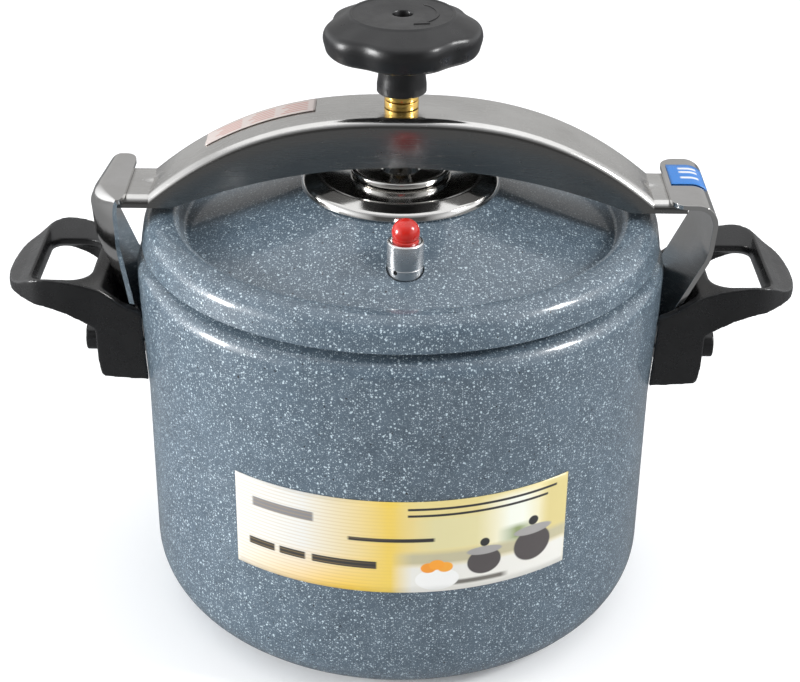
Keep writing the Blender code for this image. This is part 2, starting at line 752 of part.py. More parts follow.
def lid_shell(material, parent):
    under = lid_under()
    profile = [*reversed(lid_over()), *under]
    lid = turned("lid_shell", profile, material, BIG_STEPS, parent=parent)
    seat = valve_seat_height()
    pocket = VALVE_RADIUS + VALVE_POCKET_GAP
    x, y, _ = valve_place()
    low = seat - VALVE_POCKET_FLOOR
    boss_top = seat + 0.02
    boss = cylinder(
        "valve_boss_cutter", pocket + VALVE_POCKET_WALL, boss_top - low, (x, y, (low + boss_top) / 2)
    )
    middle = offset_path(under, LID_SHEET * 0.6)
    under_lid = [(0, middle[-1][1]), *reversed([point for point in middle if point[0] < DISH_RADIUS])]
    bottom = low - 0.01
    solid = turned("under_lid_cutter", [*under_lid, (DISH_RADIUS, bottom), (0, bottom)], steps=BIG_STEPS)
    boolean(boss, solid, "INTERSECT")
    boolean(lid, boss, "UNION")
    boolean(lid, cylinder("valve_pocket_cutter", pocket, 0.04, (x, y, seat + 0.02)))
    boolean(lid, cylinder("valve_hole_cutter", VALVE_NECK_RADIUS + GAP, 0.03, (x, y, seat)))
    return lid


def lid_gasket(material, parent):
    outer = NECK_RADIUS - 0.0002
    inner = outer - GASKET_WIDTH
    bottom, top = GASKET_BOTTOM, GASKET_BOTTOM + GASKET_HEIGHT
    corners = [
        (inner, top, 0.001),
        (outer, top, 0.001),
        (outer, bottom, 0.0005),
        (inner, bottom, 0.0005),
    ]
    return turned("lid_gasket", rounded_path(corners, pi, closed=True), material, BIG_STEPS, parent=parent)


def pressure_disc(material, parent):
    """Dished plate with a rounded rim that spreads the screw's load over the lid."""
    lip = DISC_BOTTOM - 0.0012
    corners = [
        (0, DISC_TOP - DISC_DISH, 0),
        (CUP_RADIUS, DISC_TOP - DISC_DISH, 0.05),
        (DISC_FLAT_RADIUS, DISC_TOP, 0.004),
        (DISC_RADIUS - 0.0008, DISC_BOTTOM + 0.0022, 0.009),
        (DISC_RADIUS, lip, 0),
        (DISC_RADIUS - 0.0012, lip, 0),
        (DISC_RADIUS - 0.0035, DISC_BOTTOM, 0),
        (STUD_RADIUS + GAP, DISC_BOTTOM, 0),
        (STUD_RADIUS + GAP, DISC_BOTTOM + DISC_HEIGHT * 0.5, 0),
        (0, DISC_BOTTOM + DISC_HEIGHT * 0.5, 0),
    ]
    return turned("pressure_disc", rounded_path(corners), material, BIG_STEPS, parent=parent)


def disc_stud(material, parent):
    """Rivet up through the middle of the lid that carries the disc."""
    top = DISC_BOTTOM + DISC_HEIGHT * 0.5 - GAP
    head = HUB_UNDER - GAP
    profile = [
        (0, top),
        (STUD_RADIUS, top),
        (STUD_RADIUS, head),
        (STUD_RADIUS * 2.2, head),
        (STUD_RADIUS * 2.0, head - 0.0016),
        (STUD_RADIUS, head - 0.0024),
        (0, head - 0.0024),
    ]
    return turned("disc_stud", profile, material, parent=parent)


# ---------------------------------------------------------------- release valve
def valve_levels():
    """Heights in the valve, from the pocket floor up, as a dictionary."""
    base = valve_seat_height() + GAP
    top = base + VALVE_HEIGHT
    return {
        "base": base,
        "top": top,
        "chamber": base + 0.0022,
        "counterbore": top - 0.003,
        "collar": top - 0.0068,
        "neck_end": base - VALVE_POCKET_FLOOR - 0.0052,
    }


def valve_body(material, parent):
    level = valve_levels()
    seat_hole = 0.0016
    counterbore = VALVE_RADIUS - 0.0014
    profile = [
        (VALVE_RADIUS - 0.0006, level["top"]),
        (VALVE_RADIUS, level["top"] - 0.0006),
        (VALVE_RADIUS, level["base"] + 0.0052),
        (VALVE_RADIUS - 0.0003, level["base"] + 0.0049),
        (VALVE_RADIUS - 0.0003, level["base"] + 0.0004),
        (VALVE_RADIUS - 0.0007, level["base"]),
        (VALVE_NECK_RADIUS, level["base"]),
        (VALVE_NECK_RADIUS, level["neck_end"]),
        (seat_hole, level["neck_end"]),
        (seat_hole, level["chamber"] - 0.001),
        (seat_hole + 0.001, level["chamber"]),
        (VALVE_CHAMBER_RADIUS, level["chamber"]),
        (VALVE_CHAMBER_RADIUS, level["counterbore"]),
        (counterbore, level["counterbore"]),
        (counterbore, level["top"]),
    ]
    body = turned("valve_body", profile, material, parent=parent)
    x, y, _ = valve_place()
    reach = (VALVE_RADIUS + VALVE_CHAMBER_RADIUS) / 2
    spot = (x + reach * cos(VENT_ANGLE), y + reach * sin(VENT_ANGLE), level["base"] + 0.0038)
    vent = cylinder("valve_vent_cutter", VENT_RADIUS, 0.006, spot, "X", turn=VENT_ANGLE, steps=12)
    boolean(body, vent)
    return body


def valve_collar(material, parent):
    level = valve_levels()
    profile = ring(
        0.0026, VALVE_CHAMBER_RADIUS - GAP, level["collar"], level["counterbore"] - GAP
    )
    return turned("valve_collar", profile, material, parent=parent)


def valve_fasteners(finishes, parent):
    """Rubber washer and hexagonal nut under the lid."""
    under = valve_seat_height() - VALVE_POCKET_FLOOR - GAP
    washer = ring(VALVE_NECK_RADIUS + GAP, NUT_ACROSS_CORNERS / 2, under - 0.001, under)
    turned("valve_washer", washer, finishes["rubber"], parent=parent)
    top = under - 0.001 - GAP
    hex_nut(
        "valve_nut",
        VALVE_NECK_RADIUS + GAP,
        NUT_ACROSS_CORNERS / 2,
        top - 0.003,
        top,
        finishes["aluminium"],
        parent,
        valve_place(),
    )


def valve_plunger(material, parent):
    level = valve_levels()
    seat = level["chamber"] + GAP
    flange = seat + 0.0012
    profile = [
        (0, level["top"] + 0.0026),
        (0.0022, level["top"] + 0.0026),
        (0.0022, flange),
        (VALVE_CHAMBER_RADIUS - 0.0006, flange),
        (VALVE_CHAMBER_RADIUS - 0.0006, seat),
        (0.0022, seat),
        (0.0013, level["chamber"] - 0.0008),
        (0, level["chamber"] - 0.0008),
    ]
    return turned("valve_plunger", profile, material, 16, parent=parent)


def valve_cap(material, parent):
    """Ball-shaped red cap with two turned rings, pushed on to the plunger."""
    level = valve_levels()
    bottom = level["counterbore"] + 0.0004
    foot = VALVE_CAP_RADIUS - 0.0008
    ball = level["top"] + 0.004
    low_angle = -radians(42)
    outside = arc(0, ball, VALVE_CAP_RADIUS, pi / 2, low_angle, 10)
    ring_top = outside[-1][1]
    profile = [
        (0, outside[0][1]),
        *outside[1:],
        (foot, ring_top - 0.0002),
        (foot, bottom),
        (0.0022 + GAP, bottom),
        (0.0022 + GAP, level["top"] + 0.0026 + GAP),
        (0, level["top"] + 0.0026 + GAP),
    ]
    return turned("valve_cap", profile, material, parent=parent)


def valve_spring(material, parent):
    """Coil between the plunger's flange and the collar."""
    level = valve_levels()
    wire = 0.0004
    coil = 0.0036
    low = level["chamber"] + GAP + 0.0012 + GAP + wire
    high = level["collar"] - GAP - wire
    turns, per_turn = 3, 12
    curve = bpy.data.curves.new("valve_spring", "CURVE")
    curve.dimensions = "3D"
    curve.bevel_depth = wire
    curve.bevel_resolution = 2
    curve.use_fill_caps = True
    spline = curve.splines.new("POLY")
    count = turns * per_turn
    spline.points.add(count)
    for step, point in enumerate(spline.points):
        angle = 2 * pi * step / per_turn
        point.co = (coil * cos(angle), coil * sin(angle), low + (high - low) * step / count, 1)
    curve.materials.append(material)
    spring = bpy.data.objects.new("valve_spring", curve)
    spring.parent = parent
    PARTS.objects.link(spring)
    return spring


# ---------------------------------------------------------------- bow
def bow_height(x):
    """Top of the bow at x: level at the middle, steeper towards its flat ends."""
    flat = POT_RADIUS - BOW_FLAT_START
    share = min(abs(x) / flat, 1)
    return BOW_TOP - (BOW_TOP - BOW_END_TOP) * share**BOW_ARCH_POWER


def bow_depth(x):
    """Depth of the bow's flanges at x."""
    full = BOW_TOP - BOW_DEPTH_MIDDLE
    lowest = BOW_END_TOP - BOW_DEPTH_END
    reach = POT_RADIUS - 0.0175
    edge = full - (full - lowest) * min(abs(x) / reach, 1) ** 2
    return max(bow_height(x) - edge, BOW_DEPTH_END)


def bow_section(x, lift=0.0):
    """Outer side of the channel at x, from the front flange's edge over to the rear one's."""
    half = BOW_WIDTH / 2
    top, depth = bow_height(x), bow_depth(x)
    front = [(-half, -depth), *arc(-half + BOW_EDGE, -BOW_EDGE, BOW_EDGE, pi, pi / 2, 3)]
    rear = [(-y, z) for y, z in reversed(front)]
    return [(x, y, top + z + lift) for y, z in [*front, *rear]]


def bow_stations():
    """Places along X: spread along the arch, then the flat ends."""
    flat = POT_RADIUS - BOW_FLAT_START
    inner = 11
    half = [flat * sin(pi / 2 * step / inner) for step in range(inner)]
    half = [*half, flat - 0.0008, flat + 0.003, BOW_END]
    return [-x for x in reversed(half[1:])] + half


def bow_bar(material, parent):
    rows = [bow_section(x) for x in bow_stations()]
    bar = grid_sheet("bow_bar", rows, BOW_SHEET, material, parent=parent)
    hole = cylinder("bushing_hole_cutter", BUSHING_BODY_RADIUS + GAP, 0.02, (0, 0, BOW_TOP))
    boolean(bar, hole)
    return bar


def bow_sticker(material, parent):
    rows = []
    start, end, steps = -0.0965, -0.042, 8
    for step in range(steps + 1):
        x = start + (end - start) * step / steps
        height = bow_height(x) + GAP + STICKER_SHEET + 0.0001
        rows.append([(x, y, height) for y in (-0.0012, 0.0048, 0.0095, 0.0145)])
    return grid_sheet("bow_sticker", rows, STICKER_SHEET, material, parent=parent)


def bow_bushing(finishes, parent):
    """Threaded brass bush through the bow, with its washer and nut in the channel."""
    bore = SPINDLE_RADIUS + GAP
    seat = BOW_TOP + GAP
    under = BOW_TOP - BOW_SHEET - GAP
    washer_bottom = under - 0.0012
    nut_top = washer_bottom - GAP
    foot = nut_top - 0.005
    profile = [
        (BUSHING_RADIUS - 0.0004, seat + BUSHING_COLLAR),
        (BUSHING_RADIUS, seat + BUSHING_COLLAR - 0.0004),
        (BUSHING_RADIUS, seat),
        (BUSHING_BODY_RADIUS, seat),
        (BUSHING_BODY_RADIUS, foot),
        (bore, foot),
        (bore, seat + BUSHING_COLLAR),
    ]
    turned("bow_bushing", profile, finishes["brass"], parent=parent)
    washer = ring(BUSHING_BODY_RADIUS + GAP, 0.0125, washer_bottom, under)
    turned("bushing_washer", washer, finishes["steel"], parent=parent)
    bore = BUSHING_BODY_RADIUS + GAP
    hex_nut("bushing_nut", bore, 0.0125, nut_top - 0.0045, nut_top, finishes["steel"], parent)


# ---------------------------------------------------------------- screw and knob
def thrust_cup(material, parent):
    """Pressed cup on the spindle's end: rolled rim, raised boss at the middle."""
    neck = 0.003 + GAP
    inside = CUP_BOTTOM + CUP_SHEET
    corners = [
        (neck, CUP_BOSS_TOP, 0),
        (0.0078, CUP_BOSS_TOP, 0.001),
        (0.0098, inside, 0.001),
        (CUP_RADIUS - 0.003, inside, 0.001),
        (CUP_RADIUS - 0.0022, CUP_BOTTOM + CUP_RIM, 0.0006),
        (CUP_RADIUS, CUP_BOTTOM + CUP_RIM - 0.0003, 0.001),
        (CUP_RADIUS - 0.0003, CUP_BOTTOM + 0.0008, 0.001),
        (CUP_RADIUS - 0.0015, CUP_BOTTOM, 0.0006),
        (0.0090, CUP_BOTTOM, 0.0006),
        (0.0072, CUP_BOSS_TOP - CUP_SHEET, 0.0006),
        (neck, CUP_BOSS_TOP - CUP_SHEET, 0),
    ]
    return turned("thrust_cup", rounded_path(corners, radians(50)), material, 28, parent=parent)


def spindle(finishes, parent):
    """Threaded spindle: shouldered end in the cup, kept by a clip, top end in the insert."""
    top = KNOB_FLANGE + 0.004
    clip_top = CUP_BOSS_TOP - CUP_SHEET - GAP
    tail = clip_top - 0.0012
    profile = [
        (0, top),
        (SPINDLE_RADIUS, top),
        (SPINDLE_RADIUS, SPINDLE_BOTTOM),
        (0.003, SPINDLE_BOTTOM),
        (0.003, tail),
        (0, tail),
    ]
    turned("spindle", profile, finishes["steel"], parent=parent)
    clip = ring(0.003 + GAP, 0.0055, clip_top - 0.0009, clip_top)
    turned("spindle_clip", clip, finishes["steel"], parent=parent)


def knob_insert(material, parent):
    """Brass insert: a ring under the stem and a sleeve inside it."""
    bore = SPINDLE_RADIUS + GAP
    bottom = BOW_TOP + BUSHING_COLLAR + 2 * GAP
    ring_top = bottom + INSERT_RING
    sleeve = bore + 0.0016
    profile = [
        (sleeve, KNOB_FLANGE),
        (sleeve, ring_top),
        (BUSHING_RADIUS - 0.0003, ring_top),
        (BUSHING_RADIUS, ring_top - 0.0003),
        (BUSHING_RADIUS, bottom + 0.0004),
        (BUSHING_RADIUS - 0.0004, bottom),
        (bore, bottom),
        (bore, KNOB_FLANGE),
    ]
    return turned("knob_insert", profile, material, parent=parent)


def knob_profile():
    """Outer side of the knob from the stem's foot to the edge of the top face."""
    wide, low, high = KNOB_RADIUS, KNOB_FLANGE, KNOB_TOP
    corners = [
        (KNOB_STEM_RADIUS, KNOB_BOTTOM, 0),
        (KNOB_STEM_RADIUS, KNOB_BOTTOM + 0.004, 0.004),
        (KNOB_STEM_RADIUS - 0.0007, KNOB_BOTTOM + 0.009, 0.01),
        (KNOB_STEM_RADIUS - 0.0002, low, 0.002),
        (wide - 0.012, low, 0.004),
        (wide - 0.0022, low - 0.0005, 0.003),
        (wide, low + 0.008, 0.006),
        (wide - 0.0012, low + 0.0125, 0.005),
        (KNOB_FACE_RADIUS, high - 0.0008, 0),
        (KNOB_FACE_RADIUS - 0.0006, high, 0),
    ]
    return rounded_path(corners)


def knob(material, parent):
    rings = []
    spacing = 2 * pi / KNOB_LOBES
    for radius, height in knob_profile():
        share = (radius - KNOB_FACE_RADIUS) / (KNOB_RADIUS - KNOB_FACE_RADIUS)
        share = min(max(share, 0), 1)
        loop = []
        for step in range(KNOB_STEPS):
            angle = 2 * pi * step / KNOB_STEPS
            away = (angle - KNOB_GROOVE_ANGLE + spacing / 2) % spacing - spacing / 2
            groove = KNOB_GROOVE * share * exp(-((away / KNOB_GROOVE_WIDTH) ** 2))
            loop.append(((radius - groove) * cos(angle), (radius - groove) * sin(angle), height))
        rings.append(loop)
    grip = ring_loft("knob", rings, material, parent=parent)
    sleeve = SPINDLE_RADIUS + GAP + 0.0016 + GAP
    floor = KNOB_FLANGE + 0.004 + GAP
    depth = floor - KNOB_BOTTOM + 0.01
    boolean(grip, cylinder("insert_bore_cutter", sleeve, depth, (0, 0, floor - depth / 2)))
    boolean(grip, cylinder("knob_hole_cutter", KNOB_HOLE_RADIUS, 0.009 * 2, (0, 0, KNOB_TOP)))
    through = cylinder("knob_screw_hole_cutter", 0.0022, 0.03, (0, 0, KNOB_TOP - 0.01))
    boolean(grip, through)
    return grip


def knob_screw(material, parent):
    """Screw down the knob's top hole that holds it on the spindle."""
    seat = KNOB_TOP - 0.009 + GAP
    end = KNOB_FLANGE + 0.004 + GAP
    profile = [
        (0, seat + 0.0022),
        (0.0026, seat + 0.002),
        (0.0036, seat + 0.0010),
        (0.0036, seat),
        (0.0022 - GAP, seat),
        (0.0022 - GAP, end),
        (0, end),
    ]
    return turned("knob_screw", profile, material, 16, parent=parent)


# ---------------------------------------------------------------- assembly
def make_finishes():
    return {
        "enamel": finish("speckled_coating", (0.115, 0.155, 0.200), 0.35),
        "steel": finish("polished_steel", (0.62, 0.61, 0.60), 0.14, 1.0),
        "bakelite": finish("black_bakelite", (0.016, 0.016, 0.017), 0.38),
        "brass": finish("brass", (0.75, 0.52, 0.14), 0.22, 1.0),
        "aluminium": finish("turned_aluminium", (0.70, 0.70, 0.70), 0.30, 1.0),
        "rubber": finish("grey_rubber", (0.45, 0.45, 0.44), 0.7),
        "red": finish("red_plastic", (0.62, 0.03, 0.015), 0.28),
        "label": finish("printed_label", (0.72, 0.60, 0.30), 0.4),
        "blue": finish("blue_sticker", (0.05, 0.22, 0.62), 0.4),
        "pink": finish("pale_sticker", (0.74, 0.60, 0.54), 0.5),
    }


def build():
    finishes = make_finishes()
    stand = empty("cooker_frame")
    lid_axis = empty("lid_axis", parent=stand)
    valve_axis = empty("valve_axis", location=valve_place(), parent=lid_axis)
    bow_axis = empty("bow_axis", parent=stand)
    screw_axis = empty("screw_axis", parent=bow_axis)

    pot = pot_body(finishes["enamel"], stand)
    side_fittings(pot, finishes, stand)
    front_label(finishes["label"], stand)
    capacity_sticker(finishes["blue"], stand)

    lid_shell(finishes["enamel"], lid_axis)
    lid_gasket(finishes["rubber"], lid_axis)
    pressure_disc(finishes["steel"], lid_axis)
    disc_stud(finishes["steel"], lid_axis)
    valve_body(finishes["aluminium"], valve_axis)
    valve_collar(finishes["aluminium"], valve_axis)
    valve_fasteners(finishes, valve_axis)
    valve_plunger(finishes["aluminium"], valve_axis)
    valve_cap(finishes["red"], valve_axis)
    valve_spring(finishes["steel"], valve_axis)

    bow_bar(finishes["steel"], bow_axis)
    bow_sticker(finishes["pink"], bow_axis)
    bow_bushing(finishes, bow_axis)
    thrust_cup(finishes["steel"], screw_axis)
    spindle(finishes, screw_axis)
    knob_insert(finishes["brass"], screw_axis)
    knob(finishes["bakelite"], screw_axis)
    knob_screw(finishes["steel"], screw_axis)


clear_scene()
PARTS = new_collection("pressure_cooker")
CUTTERS = new_collection("cutters")
build()
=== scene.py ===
"""Clamp-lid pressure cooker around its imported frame: meshes, finishes, floor, light, camera."""

import json
import logging
from collections.abc import Iterable, Sequence
from dataclasses import dataclass, field
from enum import Enum
from math import atan2, ceil, cos, exp, hypot, pi, radians, sin, sqrt, tan

import bmesh
import bpy
from mathutils import Matrix, Vector

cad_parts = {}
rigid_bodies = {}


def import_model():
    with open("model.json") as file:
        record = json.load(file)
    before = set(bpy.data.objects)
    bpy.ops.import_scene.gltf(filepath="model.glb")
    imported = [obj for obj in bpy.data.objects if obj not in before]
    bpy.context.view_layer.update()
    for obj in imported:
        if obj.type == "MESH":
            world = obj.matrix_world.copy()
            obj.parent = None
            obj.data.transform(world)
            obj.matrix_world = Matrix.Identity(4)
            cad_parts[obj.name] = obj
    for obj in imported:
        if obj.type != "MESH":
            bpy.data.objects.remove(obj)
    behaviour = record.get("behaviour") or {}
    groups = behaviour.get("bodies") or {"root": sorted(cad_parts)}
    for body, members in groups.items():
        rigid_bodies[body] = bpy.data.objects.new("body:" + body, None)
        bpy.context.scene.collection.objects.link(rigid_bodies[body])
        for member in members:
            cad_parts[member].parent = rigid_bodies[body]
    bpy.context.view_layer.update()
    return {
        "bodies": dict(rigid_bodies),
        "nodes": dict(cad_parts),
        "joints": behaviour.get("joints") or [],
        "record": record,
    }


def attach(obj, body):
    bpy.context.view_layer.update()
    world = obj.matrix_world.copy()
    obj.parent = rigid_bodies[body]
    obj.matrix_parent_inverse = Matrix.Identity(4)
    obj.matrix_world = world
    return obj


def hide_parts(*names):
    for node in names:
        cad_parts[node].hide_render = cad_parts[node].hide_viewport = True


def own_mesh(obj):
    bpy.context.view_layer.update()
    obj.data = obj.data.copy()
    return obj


LOG = logging.getLogger("cooker")
GAP = 0.0003
FINE = radians(6)

Point2 = tuple[float, float]
Point3 = tuple[float, float, float]
Corner = tuple[float, float, float]
Colour = tuple[float, float, float]


class Body(Enum):
    """The rigid bodies of the frame."""

    POT = "pot"
    LID = "lid"
    VALVE = "valve_piston"
    BOW = "bow"
    PAD = "thrust_pad"
    SCREW = "screw"


class Slot(Enum):
    """The material slots of the record."""

    COATING = "speckled_coating"
    STEEL = "polished_steel"
    BAKELITE = "bakelite"
    BRASS = "brass"
    ALUMINIUM = "aluminium"
    RUBBER = "grey_rubber"
    RED = "red_plastic"
    LABEL = "label_print"
    BLUE = "blue_print"
    PALE = "pale_print"


# ---------------------------------------------------------------- outlines
def arc(centre: Point2, radius: float, start: float, end: float, steps: int) -> list[Point2]:
    """Points on an arc.

    Args:
        centre: Centre of the arc.
        radius: Its radius.
        start: First angle, from the first axis.
        end: Last angle.
        steps: Number of edges.

    Returns:
        The points, both ends included.
    """
    turns = (start + (end - start) * step / steps for step in range(steps + 1))
    return [(centre[0] + radius * cos(turn), centre[1] + radius * sin(turn)) for turn in turns]


def rounded_path(
    corners: Sequence[Corner], finest: float = FINE, closed: bool = False
) -> list[Point2]:
    """A polyline whose corners are rounded by arcs.

    Args:
        corners: Each corner as (first, second, fillet radius).
        finest: Largest angle that one edge of an arc turns through.
        closed: True if the last corner joins the first.

    Returns:
        The points of the path.
    """
    path: list[Point2] = []
    count = len(corners)
    for index, (x, z, radius) in enumerate(corners):
        at_end = not closed and index in (0, count - 1)
        before, after = corners[index - 1], corners[(index + 1) % count]
        in_x, in_z = x - before[0], z - before[1]
        out_x, out_z = after[0] - x, after[1] - z
        turn = atan2(in_x * out_z - in_z * out_x, in_x * out_x + in_z * out_z)
        in_length, out_length = hypot(in_x, in_z), hypot(out_x, out_z)
        reach = min(radius * abs(tan(turn / 2)), 0.49 * in_length, 0.49 * out_length)
        if at_end or reach < 1e-7:
            path.append((x, z))
            continue
        fillet = reach / abs(tan(turn / 2))
        side = 1 if turn > 0 else -1
        start_x, start_z = x - in_x / in_length * reach, z - in_z / in_length * reach
        centre = (
            start_x - side * in_z / in_length * fillet, start_z + side * in_x / in_length * fillet
        )
        first = atan2(start_z - centre[1], start_x - centre[0])
        path += arc(centre, fillet, first, first + turn, max(1, ceil(abs(turn) / finest - 0.01)))
    return path


def offset_path(path: Sequence[Point2], distance: float) -> list[Point2]:
    """The polyline moved to the right of its direction, with mitred corners."""
    moved: list[Point2] = []
    for index, (x, z) in enumerate(path):
        normals: list[Point2] = []
        for first, second in ((index - 1, index), (index, index + 1)):
            if first < 0 or second >= len(path):
                continue
            run_x, run_z = path[second][0] - path[first][0], path[second][1] - path[first][1]
            length = hypot(run_x, run_z)
            normals.append((run_z / length, -run_x / length))
        sum_x, sum_z = sum(n[0] for n in normals), sum(n[1] for n in normals)
        length = hypot(sum_x, sum_z)
        unit_x, unit_z = sum_x / length, sum_z / length
        stretch = unit_x * normals[0][0] + unit_z * normals[0][1]
        moved.append((x + unit_x * distance / stretch, z + unit_z * distance / stretch))
    return moved


def height_on(path: Sequence[Point2], x: float) -> float:
    """Height of a path at x, for a path that x crosses once."""
    for (x0, z0), (x1, z1) in zip(path, path[1:]):
        if min(x0, x1) <= x <= max(x0, x1) and x0 != x1:
            return z0 + (z1 - z0) * (x - x0) / (x1 - x0)
    return path[-1][1]


def ring_outline(
    inner: float, outer: float, bottom: float, top: float, edge: float = 0.0002
) -> list[Point2]:
    """Outline of a washer with broken edges, down its outer side first."""
    corners = [(inner, top, edge), (outer, top, edge), (outer, bottom, edge), (inner, bottom, edge)]
    return rounded_path(corners, radians(30), closed=True)


# ---------------------------------------------------------------- meshes
def mesh_object(
    name: str, points: Iterable[Point3], faces: Iterable[Sequence[int]], sharp: float = 35
) -> bpy.types.Object:
    """A smooth-shaded object from points and faces.

    Args:
        name: Name of the piece.
        points: Its vertices.
        faces: Its faces as vertex numbers.
        sharp: Angle in degrees over which an edge stays sharp.

    Returns:
        The new object, linked to the scene.
    """
    mesh = bpy.data.meshes.new(name)
    mesh.from_pydata(list(points), [], list(faces))
    mesh.shade_smooth()
    mesh.set_sharp_from_angle(angle=radians(sharp))
    piece = bpy.data.objects.new(name, mesh)
    bpy.context.scene.collection.objects.link(piece)
    return piece


def lathe(
    name: str, profile: Sequence[Point2], steps: int = 64, sharp: float = 35
) -> bpy.types.Object:
    """A turned solid about Z.

    Args:
        name: Name of the piece.
        profile: (radius, height) down the outer side; closed unless both ends are on the axis.
        steps: Number of facets round the axis.
        sharp: Angle in degrees over which an edge stays sharp.

    Returns:
        The new object.
    """
    points: list[Point3] = []
    rings: list[list[int]] = []
    for radius, height in profile:
        count = steps if radius > 1e-7 else 1
        first = len(points)
        for step in range(count):
            angle = 2 * pi * step / steps
            points.append((radius * cos(angle), radius * sin(angle), height))
        rings.append([first + step % count for step in range(steps)])
    open_ends = profile[0][0] < 1e-7 and profile[-1][0] < 1e-7
    pairs = list(zip(rings, rings[1:])) + ([] if open_ends else [(rings[-1], rings[0])])
    faces: list[list[int]] = []
    for upper, lower in pairs:
        for step in range(steps):
            beside = (step + 1) % steps
            face = [upper[step], lower[step], lower[beside], upper[beside]]
            face = [corner for place, corner in enumerate(face) if corner != face[place - 1]]
            if len(face) > 2:
                faces.append(face)
    return mesh_object(name, points, faces, sharp)


def ring_loft(name: str, rings: Sequence[Sequence[Point3]], sharp: float = 35) -> bpy.types.Object:
    """A closed solid through rings of points, bottom ring first, capped at both ends."""
    count = len(rings[0])
    faces: list[Sequence[int]] = [tuple(range(count))[::-1]]
    for level in range(len(rings) - 1):
        for step in range(count):
            first, beside = level * count + step, level * count + (step + 1) % count
            faces.append((first, beside, beside + count, first + count))
    last = (len(rings) - 1) * count
    faces.append(tuple(range(last, last + count)))
    return mesh_object(name, [point for loop in rings for point in loop], faces, sharp)


def grid_sheet(
    name: str, rows: Sequence[
        Sequence[Point3]
    ], thickness: float, edge: float = 0.0, uv: bool = False
) -> bpy.types.Object:
    """An open surface through rows of points, thickened away from its normals.

    Args:
        name: Name of the piece.
        rows: Rows of points, all of one length.
        thickness: Thickness of the sheet.
        edge: Radius of its rounded edges, or 0.
        uv: True to lay the grid out as a UV map.

    Returns:
        The new object, with its modifiers.
    """
    width = len(rows[0])
    faces: list[tuple[int, ...]] = []
    for row in range(len(rows) - 1):
        for column in range(width - 1):
            first = row * width + column
            faces.append((first, first + width, first + width + 1, first + 1))
    piece = mesh_object(name, [point for row in rows for point in row], faces, 50)
    if uv:
        layer = piece.data.uv_layers.new(name="sheet")
        for loop in piece.data.loops:
            row, column = divmod(loop.vertex_index, width)
            layer.data[loop.index].uv = (column / (width - 1), 1 - row / (len(rows) - 1))
    solidify = piece.modifiers.new("Sheet", "SOLIDIFY")
    solidify.thickness = thickness
    solidify.offset = -1
    solidify.use_even_offset = True
    if edge:
        add_bevel(piece, edge)
    return piece


def add_bevel(piece: bpy.types.Object, width: float, angle: float = 50, segments: int = 3) -> None:
    """Round the edges of a piece that are sharper than an angle in degrees."""
    bevel = piece.modifiers.new("Edges", "BEVEL")
    bevel.width = width
    bevel.segments = segments
    bevel.limit_method = "ANGLE"
    bevel.angle_limit = radians(angle)
    bevel.harden_normals = True


def cylinder(
    name: str,
    radius: float,
    length: float,
    centre: Point3,
    along: str = "Z",
    turn: float = 0.0,
    steps: int = 48,
) -> bpy.types.Object:
    """A capped cylinder centred on a point, along Z or level in the direction of turn."""
    mesh = bpy.data.meshes.new(name)
    shape = bmesh.new()
    bmesh.ops.create_cone(
        shape, cap_ends=True, segments=steps, radius1=radius, radius2=radius, depth=length
    )
    if along == "X":
        bmesh.ops.rotate(shape, verts=shape.verts, matrix=Matrix.Rotation(pi / 2, 3, "Y"))
        bmesh.ops.rotate(shape, verts=shape.verts, matrix=Matrix.Rotation(turn, 3, "Z"))
    bmesh.ops.translate(shape, verts=shape.verts, vec=centre)
    shape.to_mesh(mesh)
    shape.free()
    piece = bpy.data.objects.new(name, mesh)
    bpy.context.scene.collection.objects.link(piece)
    return piece


def outline_slab(
    name: str, loops: Sequence[Sequence[Point2]], half: float, upright: bool = False
) -> bpy.types.Object:
    """A flat outline with holes, thickened both ways: level, or upright in X and Z."""
    curve = bpy.data.curves.new(name, "CURVE")
    curve.dimensions = "2D"
    curve.fill_mode = "BOTH"
    curve.extrude = half
    for loop in loops:
        spline = curve.splines.new("POLY")
        spline.points.add(len(loop) - 1)
        for point, (x, y) in zip(spline.points, loop):
            point.co = (x, y, 0, 1)
        spline.use_cyclic_u = True
    flat = bpy.data.objects.new(name, curve)
    bpy.context.scene.collection.objects.link(flat)
    mesh = baked_mesh(flat)
    bpy.data.objects.remove(flat, do_unlink=True)
    if upright:
        mesh.transform(Matrix.Rotation(pi / 2, 4, "X"))
    shape = bmesh.new()
    shape.from_mesh(mesh)
    bmesh.ops.remove_doubles(shape, verts=shape.verts, dist=1e-6)
    bmesh.ops.recalc_face_normals(shape, faces=shape.faces)
    shape.to_mesh(mesh)
    shape.free()
    piece = bpy.data.objects.new(name, mesh)
    bpy.context.scene.collection.objects.link(piece)
    return piece


def baked_mesh(piece: bpy.types.Object) -> bpy.types.Mesh:
    """The shape of a piece with its modifiers in it."""
    bpy.context.view_layer.update()
    return bpy.data.meshes.new_from_object(
        piece.evaluated_get(bpy.context.evaluated_depsgraph_get())
    )


def combine(
    piece: bpy.types.Object, others: Sequence[tuple[str, bpy.types.Object]], sharp: float = 35
) -> None:
    """Apply solid operations to a piece and remove the helpers.

    Args:
        piece: The solid to change.
        others: (operation, helper) pairs in order.
        sharp: Angle in degrees over which an edge stays sharp.
    """
    for operation, helper in others:
        modifier = piece.modifiers.new(helper.name, "BOOLEAN")
        modifier.operation = operation
        modifier.object = helper
        modifier.solver = "EXACT"
    piece.data = baked_mesh(piece)
    piece.modifiers.clear()
    for _, helper in others:
        bpy.data.objects.remove(helper, do_unlink=True)
    piece.data.shade_smooth()
    piece.data.set_sharp_from_angle(angle=radians(sharp))


